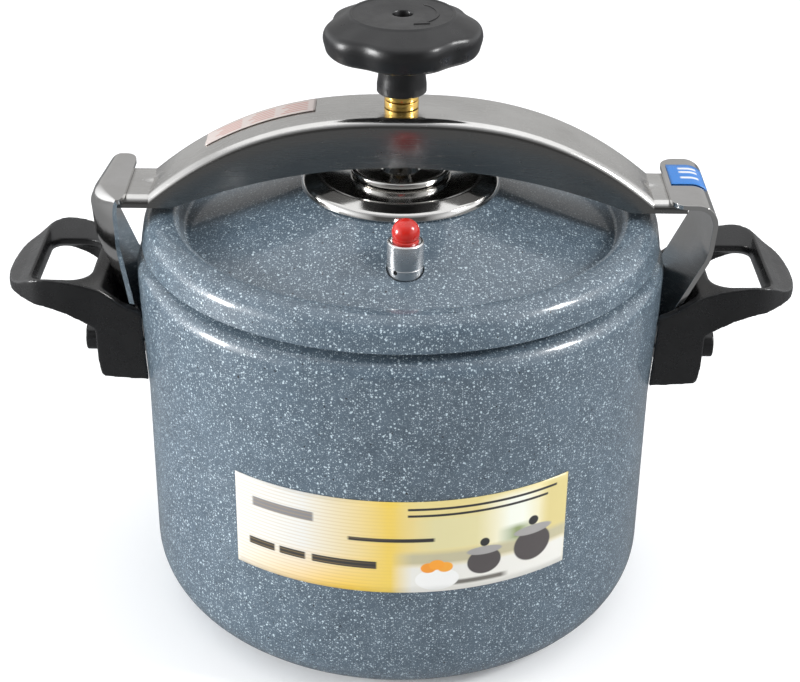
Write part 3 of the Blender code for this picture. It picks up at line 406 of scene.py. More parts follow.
# ---------------------------------------------------------------- shader graphs
class Graph:
    """A short way of writing shader nodes."""

    def __init__(self, tree: bpy.types.NodeTree) -> None:
        """Write into tree."""
        self.tree = tree

    def node(self, kind: str, **settings: object) -> bpy.types.Node:
        """A new node of a kind, with its settings."""
        made = self.tree.nodes.new(kind)
        for key, value in settings.items():
            setattr(made, key, value)
        return made

    def put(self, socket: bpy.types.NodeSocket, value: object) -> None:
        """Link a socket to an input, or store a plain value in it."""
        if isinstance(value, bpy.types.NodeSocket):
            self.tree.links.new(value, socket)
        elif value is not None:
            socket.default_value = value

    def math(self, operation: str, *values: object, clamp: bool = False) -> bpy.types.NodeSocket:
        """A Math node's result."""
        made = self.node("ShaderNodeMath", operation=operation, use_clamp=clamp)
        for socket, value in zip(made.inputs, values):
            self.put(socket, value)
        return made.outputs[0]

    def ramp(
        self, value: object, low: object, high: object, to_low: object = 0.0, to_high: object = 1.0
    ):
        """A value mapped from one range to another, held inside the second one."""
        made = self.node("ShaderNodeMapRange")
        for socket, entry in zip(made.inputs, (value, low, high, to_low, to_high)):
            self.put(socket, entry)
        return made.outputs[0]

    def mix(self, factor: object, first: object, second: object) -> bpy.types.NodeSocket:
        """A mix of two colours."""
        made = self.node("ShaderNodeMix", data_type="RGBA")
        self.put(made.inputs[0], factor)
        for socket, colour in ((made.inputs[6], first), (made.inputs[7], second)):
            self.put(socket, (*colour, 1.0) if isinstance(colour, tuple) else colour)
        return made.outputs[2]

    def noise(self, vector: object, scale: object, detail: float = 2.0, rough: float = 0.5):
        """Noise as a value around one half."""
        made = self.node("ShaderNodeTexNoise")
        self.put(made.inputs["Vector"], vector)
        self.put(made.inputs["Scale"], scale)
        made.inputs["Detail"].default_value = detail
        made.inputs["Roughness"].default_value = rough
        return made.outputs[0]

    def place(self) -> bpy.types.NodeSocket:
        """Position on the piece, in metres."""
        return self.node("ShaderNodeTexCoord").outputs["Object"]

    def stretch(self, vector: object, scale: Point3) -> bpy.types.NodeSocket:
        """A vector scaled along each axis."""
        made = self.node("ShaderNodeMapping")
        self.put(made.inputs["Vector"], vector)
        made.inputs["Scale"].default_value = scale
        return made.outputs[0]

    def group(self, tree: bpy.types.NodeTree, **values: object) -> bpy.types.Node:
        """A group node with its inputs filled, underscores for spaces in their names."""
        made = self.node("ShaderNodeGroup", node_tree=tree)
        for key, value in values.items():
            self.put(made.inputs[key.replace("_", " ")], value)
        return made


def new_group(name: str, inputs: dict[str, str], outputs: dict[str, str]) -> tuple[
    Graph, bpy.types.Node, bpy.types.Node
]:
    """An empty node group.

    Args:
        name: Its name.
        inputs: Socket name to kind, Float or Vector.
        outputs: The same for what it puts out.

    Returns:
        Its graph, its input node and its output node.
    """
    tree = bpy.data.node_groups.new(name, "ShaderNodeTree")
    for in_out, sockets in (("INPUT", inputs), ("OUTPUT", outputs)):
        for socket, kind in sockets.items():
            tree.interface.new_socket(socket, in_out=in_out, socket_type=f"NodeSocket{kind}")
    graph = Graph(tree)
    return graph, graph.node("NodeGroupInput"), graph.node("NodeGroupOutput")


class Effects:
    """The shared shader groups, each built once."""

    def __init__(self) -> None:
        """Build every group."""
        self.flecks = self.build_flecks()
        self.variation = self.build_variation()
        self.brushing = self.build_brushing()
        self.dust = self.build_dust()

    @staticmethod
    def build_flecks() -> bpy.types.NodeTree:
        """Scattered ragged dots, as a mask."""
        graph, source, result = new_group(
            "flecks",
            {"Vector": "Vector", "Scale": "Float", "Size": "Float", "Density": "Float"},
            {"Mask": "Float"},
        )
        bend = graph.node("ShaderNodeTexNoise")
        graph.put(bend.inputs["Vector"], source.outputs["Vector"])
        graph.put(bend.inputs["Scale"], graph.math("MULTIPLY", source.outputs["Scale"], 2.2))
        centred = graph.node("ShaderNodeVectorMath", operation="SUBTRACT")
        graph.put(centred.inputs[0], bend.outputs["Color"])
        centred.inputs[1].default_value = (0.5, 0.5, 0.5)
        reach = graph.node("ShaderNodeVectorMath", operation="SCALE")
        graph.put(reach.inputs[0], centred.outputs[0])
        graph.put(reach.inputs["Scale"], graph.math("DIVIDE", 0.55, source.outputs["Scale"]))
        bent = graph.node("ShaderNodeVectorMath", operation="ADD")
        graph.put(bent.inputs[0], source.outputs["Vector"])
        graph.put(bent.inputs[1], reach.outputs[0])
        cells = graph.node("ShaderNodeTexVoronoi")
        graph.put(cells.inputs["Vector"], bent.outputs[0])
        graph.put(cells.inputs["Scale"], source.outputs["Scale"])
        pick = graph.node("ShaderNodeSeparateColor")
        graph.put(pick.inputs[0], cells.outputs["Color"])
        kept = graph.math("LESS_THAN", pick.outputs[0], source.outputs["Density"])
        size = graph.math(
            "MULTIPLY", source.outputs["Size"], graph.ramp(pick.outputs[1], 0.0, 1.0, 0.45, 1.3)
        )
        inside = graph.ramp(cells.outputs["Distance"], size, graph.math("MULTIPLY", size, 0.6))
        graph.put(result.inputs["Mask"], graph.math("MULTIPLY", kept, inside))
        return graph.tree

    @staticmethod
    def build_variation() -> bpy.types.NodeTree:
        """Broad and fine noise between two levels."""
        graph, source, result = new_group(
            "variation", {"Vector": "Vector", "Scale": "Float", "Low": "Float", "High": "Float"}, {
                "Value": "Float"
            }
        )
        noise = graph.noise(source.outputs["Vector"], source.outputs["Scale"], 5.0, 0.6)
        level = graph.ramp(noise, 0.32, 0.68, source.outputs["Low"], source.outputs["High"])
        graph.put(result.inputs["Value"], level)
        return graph.tree

    @staticmethod
    def build_brushing() -> bpy.types.NodeTree:
        """Fine lines along one axis with a few deeper scratches, as a height and a mask."""
        graph, source, result = new_group(
            "brushing", {"Vector": "Vector", "Scale": "Float"}, {
                "Height": "Float", "Scratches": "Float"
            }
        )
        lines = graph.noise(source.outputs["Vector"], source.outputs["Scale"], 3.0, 0.7)
        wander = graph.noise(
            source.outputs["Vector"], graph.math("MULTIPLY", source.outputs["Scale"], 0.21), 2.0
        )
        deep = graph.ramp(graph.math("ABSOLUTE", graph.math("SUBTRACT", wander, 0.5)), 0.006, 0.0)
        graph.put(
            result.inputs["Height"],
            graph.math("SUBTRACT", lines, graph.math("MULTIPLY", deep, 0.5)),
        )
        graph.put(result.inputs["Scratches"], deep)
        return graph.tree

    @staticmethod
    def build_dust() -> bpy.types.NodeTree:
        """A thin broken film on faces that look up, as a mask."""
        graph, source, result = new_group(
            "dust", {"Vector": "Vector", "Amount": "Float"}, {"Mask": "Float"}
        )
        normal = graph.node("ShaderNodeSeparateXYZ")
        graph.put(normal.inputs[0], graph.node("ShaderNodeNewGeometry").outputs["Normal"])
        facing = graph.ramp(normal.outputs[2], 0.3, 0.95)
        patches = graph.ramp(graph.noise(source.outputs["Vector"], 60.0, 6.0, 0.65), 0.35, 0.75)
        film = graph.math("MULTIPLY", facing, patches)
        graph.put(result.inputs["Mask"], graph.math("MULTIPLY", film, source.outputs["Amount"]))
        return graph.tree


@dataclass(frozen=True)
class Finish:
    """What every finish shares.

    Attributes:
        name: Name of its material.
        slot: The record's slot it stands for.
    """

    name: str
    slot: Slot

    def make(self, effects: Effects) -> bpy.types.Material:
        """The finished material."""
        raise NotImplementedError(self.name)

    def start(self) -> tuple[bpy.types.Material, Graph, bpy.types.Node]:
        """A new material with its graph and its shader."""
        material = bpy.data.materials.new(self.name)
        material.use_nodes = True
        return material, Graph(material.node_tree), material.node_tree.nodes["Principled BSDF"]

    def bump(
        self, graph: Graph, shader: bpy.types.Node, height: object, strength: float, distance: float
    ) -> None:
        """Feed a height to the shader's normal."""
        bump = graph.node("ShaderNodeBump")
        bump.inputs["Strength"].default_value = strength
        bump.inputs["Distance"].default_value = distance
        graph.put(bump.inputs["Height"], height)
        graph.put(shader.inputs["Normal"], bump.outputs[0])


@dataclass(frozen=True)
class Coating(Finish):
    """Baked grey-blue coating with pale and dark flecks under a clear gloss.

    Attributes:
        deep: Darker ground colour.
        light: Lighter ground colour.
        pale: Colour of the pale flecks.
        roughness: Mean roughness under the gloss.
    """

    deep: Colour = (0.062, 0.092, 0.122)
    light: Colour = (0.085, 0.122, 0.158)
    pale: Colour = (0.50, 0.60, 0.66)
    roughness: float = 0.36

    def make(self, effects: Effects) -> bpy.types.Material:
        """The finished material."""
        material, graph, shader = self.start()
        place = graph.place()
        ground = graph.mix(
            graph.ramp(graph.noise(place, 90.0, 5.0, 0.6), 0.35, 0.65), self.deep, self.light
        )
        colour: object = ground
        layers = (
            (1800.0, 0.42, 0.62, 0.42), (1050.0, 0.38, 0.52, 0.80), (600.0, 0.31, 0.42, 1.0),
            (330.0, 0.20, 0.20, 1.0),
        )
        height: object = 0.0
        for scale, size, density, strength in layers:
            mask = graph.group(
                effects.flecks, Vector=place, Scale=scale, Size=size, Density=density
            ).outputs[0]
            colour = graph.mix(graph.math("MULTIPLY", mask, strength), colour, self.pale)
            height = graph.math("ADD", height, mask)
        dark = graph.group(
            effects.flecks, Vector=place, Scale=300.0, Size=0.15, Density=0.4
        ).outputs[0]
        graph.put(shader.inputs["Base Color"], graph.mix(dark, colour, (0.01, 0.012, 0.015)))
        rough = graph.group(
            effects.variation,
            Vector=place,
            Scale=35.0,
            Low=self.roughness - 0.05,
            High=self.roughness + 0.06,
        )
        graph.put(shader.inputs["Roughness"], rough.outputs[0])
        shader.inputs["Coat Weight"].default_value = 0.55
        shader.inputs["Coat Roughness"].default_value = 0.07
        peel = graph.noise(place, 420.0, 3.0)
        self.bump(
            graph,
            shader,
            graph.math("ADD", peel, graph.math("MULTIPLY", height, 0.25)),
            0.10,
            0.0004,
        )
        return material


@dataclass(frozen=True)
class Metal(Finish):
    """A polished, turned or brushed metal.

    Attributes:
        colour: Colour of the reflection.
        roughness: Lowest and highest roughness.
        grain: Stretch of the polishing lines along each axis.
        scale: Fineness of the lines.
        relief: Strength of the lines.
        tarnish_and_shade: Colour of the duller patches, and the base of the painted shade on
            upright faces.
        upright: Share of the colour left on upright faces, which are painted darker as shade.
    """

    colour: Colour = (0.74, 0.73, 0.71)
    roughness: tuple[float, float] = (0.10, 0.20)
    grain: Point3 = (0.06, 1.0, 1.0)
    scale: float = 1400.0
    relief: float = 0.05
    tarnish_and_shade: Colour = (0.55, 0.54, 0.52)
    upright: float = 1.0

    def make(self, effects: Effects) -> bpy.types.Material:
        """The finished material."""
        material, graph, shader = self.start()
        place = graph.place()
        lines = graph.group(
            effects.brushing, Vector=graph.stretch(place, self.grain), Scale=self.scale
        )
        patches = graph.group(
            effects.variation, Vector=place, Scale=28.0, Low=0.0, High=0.8
        ).outputs[0]
        colour = graph.mix(patches, self.colour, self.tarnish_and_shade)
        # Painted shade: faces that look to the front or back get a darker copy of the tarnish
        # colour.
        if self.upright < 1.0:
            facing = graph.node("ShaderNodeSeparateXYZ")
            graph.put(facing.inputs[0], graph.node("ShaderNodeNewGeometry").outputs["True Normal"])
            shade_mask = graph.ramp(graph.math("ABSOLUTE", facing.outputs[1]), 0.75, 0.98)
            painted_shade = tuple(self.upright * channel for channel in self.tarnish_and_shade)
            colour = graph.mix(shade_mask, colour, painted_shade)
        graph.put(shader.inputs["Base Color"], colour)
        low, high = self.roughness
        rough = graph.ramp(
            graph.math("ADD", patches, lines.outputs["Scratches"]), 0.0, 1.2, low, high
        )
        graph.put(shader.inputs["Roughness"], rough)
        shader.inputs["Metallic"].default_value = 1.0
        self.bump(graph, shader, lines.outputs["Height"], self.relief, 0.0002)
        return material


@dataclass(frozen=True)
class Moulding(Finish):
    """Moulded plastic, thermoset or rubber.

    Attributes:
        colour: Its colour.
        roughness: Lowest and highest roughness.
        grain: Scale of the skin's texture.
        relief: Strength of the texture.
        film: Amount of dust on faces that look up.
        coat: Weight of a glossy skin.
    """

    colour: Colour = (0.009, 0.009, 0.0095)
    roughness: tuple[float, float] = (0.22, 0.34)
    grain: float = 1500.0
    relief: float = 0.12
    film: float = 0.03
    coat: float = 0.0

    def make(self, effects: Effects) -> bpy.types.Material:
        """The finished material."""
        material, graph, shader = self.start()
        place = graph.place()
        dust = graph.group(effects.dust, Vector=place, Amount=self.film).outputs[0]
        shade = graph.group(
            effects.variation, Vector=place, Scale=45.0, Low=0.0, High=1.0
        ).outputs[0]
        lighter = tuple(min(1.0, channel * 1.25 + 0.002) for channel in self.colour)
        body = graph.mix(shade, self.colour, lighter)
        graph.put(shader.inputs["Base Color"], graph.mix(dust, body, (0.30, 0.29, 0.28)))
        low, high = self.roughness
        rough = graph.group(
            effects.variation, Vector=place, Scale=110.0, Low=low, High=high
        ).outputs[0]
        graph.put(
            shader.inputs["Roughness"], graph.math("ADD", rough, graph.math("MULTIPLY", dust, 0.5))
        )
        shader.inputs["Coat Weight"].default_value = self.coat
        shader.inputs["Coat Roughness"].default_value = 0.08
        skin = graph.noise(place, self.grain, 4.0, 0.6)
        self.bump(graph, shader, skin, self.relief, 0.0003)
        return material


@dataclass(frozen=True)
class Print(Finish):
    """Printed film: a ground colour with soft boxes and discs of ink, laid out from 0 to 1.

    Attributes:
        ground: Colour of the film.
        boxes: (left, right, bottom, top, softness, colour) of each box, the last on top.
        discs: (centre across, centre up, half width, half height, softness, colour) of each disc.
        stripes: Number of fine level stripes over the left half, or 0.
        roughness: Roughness of the film.
    """

    ground: Colour = (0.8, 0.8, 0.8)
    boxes: tuple[tuple[float, float, float, float, float, Colour], ...] = ()
    discs: tuple[tuple[float, float, float, float, float, Colour], ...] = ()
    stripes: int = 0
    roughness: float = 0.35

    @staticmethod
    def box_mask(
        graph: Graph, across: object, up: object, box: Sequence[float]
    ) -> bpy.types.NodeSocket:
        """A soft-edged box as a mask."""
        left, right, bottom, top, soft = box
        masks = (
            graph.ramp(across, left - soft, left + soft),
            graph.ramp(across, right + soft, right - soft),
            graph.ramp(up, bottom - soft, bottom + soft),
            graph.ramp(up, top + soft, top - soft),
        )
        result = masks[0]
        for mask in masks[1:]:
            result = graph.math("MULTIPLY", result, mask)
        return result

    @staticmethod
    def disc_mask(
        graph: Graph, across: object, up: object, disc: Sequence[float]
    ) -> bpy.types.NodeSocket:
        """A soft-edged ellipse as a mask."""
        middle, height, wide, tall, soft = disc
        first = graph.math(
            "POWER",
            graph.math(
                "ABSOLUTE", graph.math("DIVIDE", graph.math("SUBTRACT", across, middle), wide)
            ),
            2.0,
        )
        second = graph.math(
            "POWER",
            graph.math("ABSOLUTE", graph.math("DIVIDE", graph.math("SUBTRACT", up, height), tall)),
            2.0,
        )
        return graph.ramp(graph.math("ADD", first, second), 1.0 + soft, 1.0 - soft)

    def make(self, effects: Effects) -> bpy.types.Material:
        """The finished material."""
        material, graph, shader = self.start()
        sheet = graph.node("ShaderNodeSeparateXYZ")
        graph.put(sheet.inputs[0], graph.node("ShaderNodeUVMap", uv_map="sheet").outputs[0])
        across, up = sheet.outputs[0], sheet.outputs[1]
        colour: object = graph.mix(0.0, self.ground, self.ground)
        for *box, ink in self.boxes:
            colour = graph.mix(self.box_mask(graph, across, up, box), colour, ink)
        for *disc, ink in self.discs:
            colour = graph.mix(self.disc_mask(graph, across, up, disc), colour, ink)
        if self.stripes:
            wave = graph.math("SINE", graph.math("MULTIPLY", up, self.stripes * 2 * pi))
            shade = graph.math(
                "MULTIPLY", graph.ramp(wave, 0.1, 0.9), graph.ramp(across, 0.52, 0.3)
            )
            colour = graph.mix(graph.math("MULTIPLY", shade, 0.28), colour, (0.46, 0.30, 0.10))
        graph.put(shader.inputs["Base Color"], colour)
        place = graph.place()
        rough = graph.group(
            effects.variation,
            Vector=place,
            Scale=60.0,
            Low=self.roughness - 0.05,
            High=self.roughness + 0.08,
        ).outputs[0]
        graph.put(shader.inputs["Roughness"], rough)
        shader.inputs["Coat Weight"].default_value = 0.3
        shader.inputs["Coat Roughness"].default_value = 0.12
        self.bump(graph, shader, graph.noise(place, 160.0, 3.0), 0.06, 0.0006)
        return material


INK = (0.035, 0.035, 0.035)
GOLD = (0.80, 0.48, 0.02)
CREAM = (0.74, 0.62, 0.26)


def label_finish() -> Print:
    """The front label: striped pale to gold ground, bars for words, a plain kitchen picture."""
    boxes = (
        (0.16, 0.60, -0.3, 0.22, 0.20, GOLD),
        (0.34, 0.60, -0.3, 1.3, 0.12, (0.78, 0.56, 0.10)),
        (0.52, 1.2, -0.2, 1.2, 0.05, CREAM),
        (0.56, 0.74, 0.46, 0.82, 0.03, (0.70, 0.64, 0.34)),
        (0.76, 0.90, 0.42, 0.96, 0.05, (0.82, 0.84, 0.74)),
        (0.92, 1.02, 0.40, 1.02, 0.02, (0.66, 0.56, 0.24)),
        (0.50, 1.02, 0.30, 0.44, 0.03, (0.50, 0.46, 0.30)),
        (0.50, 1.02, -0.1, 0.30, 0.03, (0.74, 0.73, 0.68)),
        (0.64, 0.80, 0.06, 0.11, 0.012, (0.16, 0.15, 0.13)),
        (0.80, 0.87, 0.44, 0.60, 0.03, (0.26, 0.32, 0.14)),
        (0.060, 0.250, 0.70, 0.80, 0.004, (0.20, 0.20, 0.21)),
        (0.045, 0.130, 0.26, 0.34, 0.003, INK),
        (0.145, 0.225, 0.26, 0.34, 0.003, INK),
        (0.245, 0.430, 0.26, 0.34, 0.003, INK),
        (0.515, 0.960, 0.905, 0.93, 0.002, INK),
        (0.515, 0.930, 0.835, 0.86, 0.002, INK),
        (0.350, 0.590, 0.56, 0.60, 0.004, INK),
    )
    grey, shine = (0.085, 0.075, 0.075), (0.34, 0.33, 0.32)
    discs = (
        (0.735, 0.28, 0.050, 0.14, 0.08, grey),
        (0.735, 0.40, 0.052, 0.045, 0.15, shine),
        (0.735, 0.49, 0.014, 0.045, 0.2, INK),
        (0.885, 0.34, 0.060, 0.18, 0.08, grey),
        (0.885, 0.50, 0.062, 0.050, 0.15, shine),
        (0.885, 0.60, 0.016, 0.050, 0.2, INK),
        (0.600, 0.14, 0.062, 0.12, 0.06, (0.82, 0.82, 0.80)),
        (0.575, 0.27, 0.022, 0.055, 0.15, (0.84, 0.30, 0.02)),
        (0.622, 0.27, 0.022, 0.055, 0.15, (0.86, 0.36, 0.03)),
        (0.598, 0.30, 0.022, 0.055, 0.15, (0.88, 0.34, 0.02)),
    )
    return Print("printed_label", Slot.LABEL, (0.66, 0.66, 0.63), boxes, discs, 26, 0.34)


def finishes() -> dict[str, Finish]:
    """Every finish by a short name."""
    white = (0.80, 0.82, 0.84)
    bars = tuple((left, left + 0.09, 0.30, 0.72, 0.02, white) for left in (0.16, 0.34, 0.62))
    faint = (0.46, 0.16, 0.12)
    lines = tuple(
        (
            0.17 + 0.15 * row,
            0.22 + 0.15 * row,
            start,
            start + 0.24 - 0.03 * ((row + step) % 3),
            0.008,
            faint,
        )
        for row in range(5)
        for step, start in enumerate((0.07, 0.37, 0.67))
    )
    return {
        "coating": Coating("speckled_coating", Slot.COATING),
        "steel": Metal("polished_steel", Slot.STEEL),
        # Painted shade: the bow's front and rear flanges keep under half their colour.
        "bow": Metal("bow_steel", Slot.STEEL, roughness=(0.14, 0.30), relief=0.09, upright=0.48),
        "mirror": Metal(
            "mirror_steel",
            Slot.STEEL,
            (0.66, 0.65, 0.63),
            (0.09, 0.17),
            (1.0, 1.0, 1.0),
            900.0,
            0.03,
        ),
        "strap": Metal(
            "strap_steel",
            Slot.STEEL,
            (0.66, 0.65, 0.64),
            (0.09, 0.18),
            (1.0, 0.06, 0.4),
            1300.0,
            0.04,
        ),
        "bakelite": Moulding("black_bakelite", Slot.BAKELITE),
        "knob": Moulding(
            "knob_bakelite", Slot.BAKELITE, (0.006, 0.006, 0.0065), (0.26, 0.38), 1200.0, 0.14, 0.03
        ),
        "brass": Metal(
            "turned_brass", Slot.BRASS, (0.78, 0.52, 0.14), (0.16, 0.28), (
                0.3, 0.3, 2.0
            ), 1500.0, 0.05, (0.62, 0.40, 0.12)
        ),
        "aluminium": Metal(
            "turned_aluminium", Slot.ALUMINIUM, (0.78, 0.78, 0.78), (0.22, 0.36), (
                0.25, 0.25, 3.0
            ), 1500.0, 0.12, (0.62, 0.62, 0.62)
        ),
        "rubber": Moulding(
            "grey_rubber", Slot.RUBBER, (0.42, 0.42, 0.41), (0.55, 0.75), 900.0, 0.15, 0.1
        ),
        "red": Moulding(
            "red_plastic", Slot.RED, (0.46, 0.012, 0.006), (0.20, 0.30), 900.0, 0.04, 0.0, 0.4
        ),
        "label": label_finish(),
        "blue": Print("blue_sticker", Slot.BLUE, (0.02, 0.20, 0.62), bars, (), 0, 0.3),
        "pale": Print("pale_sticker", Slot.PALE, (0.56, 0.49, 0.46), lines, (), 0, 0.4),
    }


# ---------------------------------------------------------------- sizes that several pieces share
@dataclass(frozen=True)
class Sizes:
    """Driving sizes of the cooker, in metres."""

    pot_radius: float = 0.130
    pot_height: float = 0.2035
    pot_wall: float = 0.0035
    pot_corner: float = 0.029
    shoulder: float = 0.1321
    neck: float = 0.1225
    lid_sheet: float = 0.0025
    hub_radius: float = 0.044
    hub_slope: float = 0.354
    bow_top: float = 0.2636
    bow_end_top: float = 0.2225
    strap_sheet: float = 0.0024
    strap_half: float = 0.029
    spindle: float = 0.0055
    cup: float = 0.025
    knob_flange: float = 0.2922

    @property
    def skirt(self) -> float:
        """Inner radius of the lid's skirt."""
        return self.neck + 0.0045

    @property
    def channel(self) -> float:
        """Height of the ceiling of the lid's channel."""
        return self.pot_height + GAP + 0.0028 + 0.0037

    @property
    def dish(self) -> Point2:
        """Foot of the lid's channel wall, as radius and height."""
        return (self.neck - 0.0092 - 0.0038, self.channel - 0.011)

    @property
    def hub_under(self) -> float:
        """Height of the underside of the lid's hub."""
        return self.dish[1] + (self.dish[0] - self.hub_radius) * self.hub_slope

    @property
    def disc_bottom(self) -> float:
        """Height of the underside of the pressure disc."""
        return self.hub_under + self.lid_sheet + GAP

    @property
    def disc_top(self) -> float:
        """Height of the crest of the pressure disc."""
        return self.disc_bottom + 0.005

    @property
    def cup_bottom(self) -> float:
        """Height of the underside of the thrust cup."""
        return self.disc_top - 0.001 + GAP

    @property
    def tongue_top(self) -> float:
        """Height of the top of the hooks."""
        return self.bow_end_top + GAP + self.strap_sheet

    @property
    def strap_leg(self) -> float:
        """Outer face of a strap's leg."""
        return self.shoulder + GAP + 0.0002 + self.strap_sheet

    def pot_outside(self) -> list[Point2]:
        """Outer side of the pot, mouth to base centre."""
        corners = [
            (self.neck - 0.0003, self.pot_height, 0),
            (self.neck, self.pot_height - 0.0006, 0),
            (self.neck, self.pot_height - 0.008, 0.004),
            (self.shoulder + 0.0003, self.pot_height - 0.0135, 0.014),
            (self.shoulder, self.pot_height * 0.79, 0.05),
            (self.pot_radius, self.pot_height * 0.58, 0.05),
            (self.pot_radius, 0, self.pot_corner),
            (0, 0, 0),
        ]
        return rounded_path(corners)

    def lid_under(self) -> list[Point2]:
        """Underside of the lid, skirt edge to centre hole."""
        corners = [
            (self.skirt, self.pot_height - 0.006, 0),
            (self.skirt - 0.0022, self.channel, 0.007),
            (self.neck - 0.0092, self.channel, 0.004),
            (*self.dish, 0.004),
            (self.hub_radius, self.hub_under, 0.008),
            (0.0043, self.hub_under, 0),
        ]
        return rounded_path(corners)

    def strap_path(self) -> list[Point2]:
        """Outer face of a strap at its middle, foot to tip."""
        outer = self.pot_radius + 0.0245
        tip = self.pot_radius + 0.001
        corners = [
            (self.strap_leg, 0.1265, 0),
            (self.strap_leg, 0.154, 0.012),
            (outer - 0.002, self.tongue_top - 0.0272, 0.025),
            (outer, self.tongue_top, 0.011),
            (tip, self.tongue_top, 0),
        ]
        path = rounded_path(corners)
        path[-1:] = [
            (tip + 0.008 * (1 - sin(pi / 2 * step / 8)), self.tongue_top) for step in range(9)
        ]
        return path

    def strap_point(self, x: float, z: float, y: float, curl: float) -> Point3:
        """A point of a strap.

        Args:
            x: Distance of its outer face from the axis.
            z: Height.
            y: Distance across the strap.
            curl: 1 for the left hook, whose front edge is curled in, and 0 for the right one.

        Returns:
            The point, for a strap on +X.
        """
        climb = min(max((z - 0.154) / (self.tongue_top - 0.154), 0), 1)
        bend = (self.strap_leg - sqrt(self.strap_leg**2 - y**2)) * max(0, 1 - 2 * climb)
        edge = max(0, (y - 0.008) / (self.strap_half - 0.008)) ** 1.5
        pull = curl * (0.0145 * edge + 0.0035 * max(0, -y / self.strap_half))
        inner, outer = self.pot_radius + 0.001, self.pot_radius + 0.0245
        outset = min(max((x - inner) / (outer - inner), 0), 1)
        shift = curl * 0.0035 * (1 - outset) if z > self.tongue_top - 0.011 else 0
        return (x - bend - pull * outset * min(1, 3 * climb) + shift, y, z)


@dataclass
class Workshop:
    """Where pieces are dressed, fixed to their bodies and counted.

    Attributes:
        finish: Finishes by name.
        sizes: The driving sizes.
        count: Pieces added so far.
        material: Materials by the same names, made once.
    """

    finish: dict[str, Finish]
    sizes: Sizes = field(default_factory=Sizes)
    count: int = 0
    material: dict[str, bpy.types.Material] = field(init=False)

    def __post_init__(self) -> None:
        """Make every material."""
        effects = Effects()
        self.material = {name: entry.make(effects) for name, entry in self.finish.items()}

    def dress(self, piece: bpy.types.Object, finish: str) -> None:
        """Give a piece its material in every slot."""
        material = self.material[finish]
        if not piece.data.materials:
            piece.data.materials.append(material)
        for slot in piece.material_slots:
            slot.link = "OBJECT"
            slot.material = material

    def add(
        self, piece: bpy.types.Object, body: Body, finish: str, *nodes: str
    ) -> bpy.types.Object:
        """Dress a fine piece and put it in the place of CAD nodes.

        Args:
            piece: The piece, already in place.
            body: The body it rides on.
            finish: Name of its finish, which also knows the record's slot.
            nodes: The CAD nodes it stands for.

        Returns:
            The piece.
        """
        self.dress(piece, finish)
        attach(piece, body.value)
        if nodes:
            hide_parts(*nodes)
        self.count += 1
        LOG.info("piece %s on %s", piece.name, body.value)
        return piece

    def keep(self, frame: dict, node: str, finish: str) -> None:
        """Dress a CAD node that stays."""
        self.dress(frame["nodes"][node], finish)
        LOG.info("kept %s", node)


# ---------------------------------------------------------------- sub-assemblies
@dataclass
class PotBody:
    """The deep pot and its label.

    Attributes:
        steps: Facets round the pot.
        floor: Thickness of the base.
        groove: Depth of the turned line where the swell ends.
    """

    steps: int = 240
    floor: float = 0.005
    groove: float = 0.00012

    def build(self, shop: Workshop) -> None:
        """Build and dress the pot and its label."""
        sizes = shop.sizes
        outside = sizes.pot_outside()
        inside = offset_path(outside[1:-1], sizes.pot_wall)
        inside = [(x, z) for x, z in inside if z > self.floor]
        profile = [
            (0, self.floor), (inside[-1][0], self.floor), *reversed(inside), *self.grooved(outside)
        ]
        pot = lathe("pot_skin", profile, self.steps, 40)
        shop.add(pot, Body.POT, "coating", "pot_body")
        self.build_label(shop)

    def grooved(self, outside: Sequence[Point2]) -> list[Point2]:
        """The outside with a fine turned line below the swell."""
        low = 0.1135
        result = [(x, z) for x, z in outside if z > low + 0.002]
        edge = height_on([(z, x) for x, z in outside], low)
        result += [
            (edge, low + 0.0008), (edge - self.groove, low + 0.0002), (edge - self.groove, low),
            (edge, low - 0.0005),
        ]
        return result + [(x, z) for x, z in outside if z < low - 0.002]

    def build_label(self, shop: Workshop) -> None:
        """The curved label on the front."""
        outer = shop.sizes.pot_radius + GAP + 0.0002
        start, end = radians(-36), radians(38.4)
        rows = []
        for level in range(13):
            height = 0.069 + 0.0515 * level / 12
            angles = [start + (end - start) * step / 96 for step in range(97)]
            rows.append([(outer * sin(angle), -outer * cos(angle), height) for angle in angles])
        label = grid_sheet("front_label_film", rows[::-1], 0.0002, uv=True)
        shop.add(label, Body.POT, "label", "front_label")


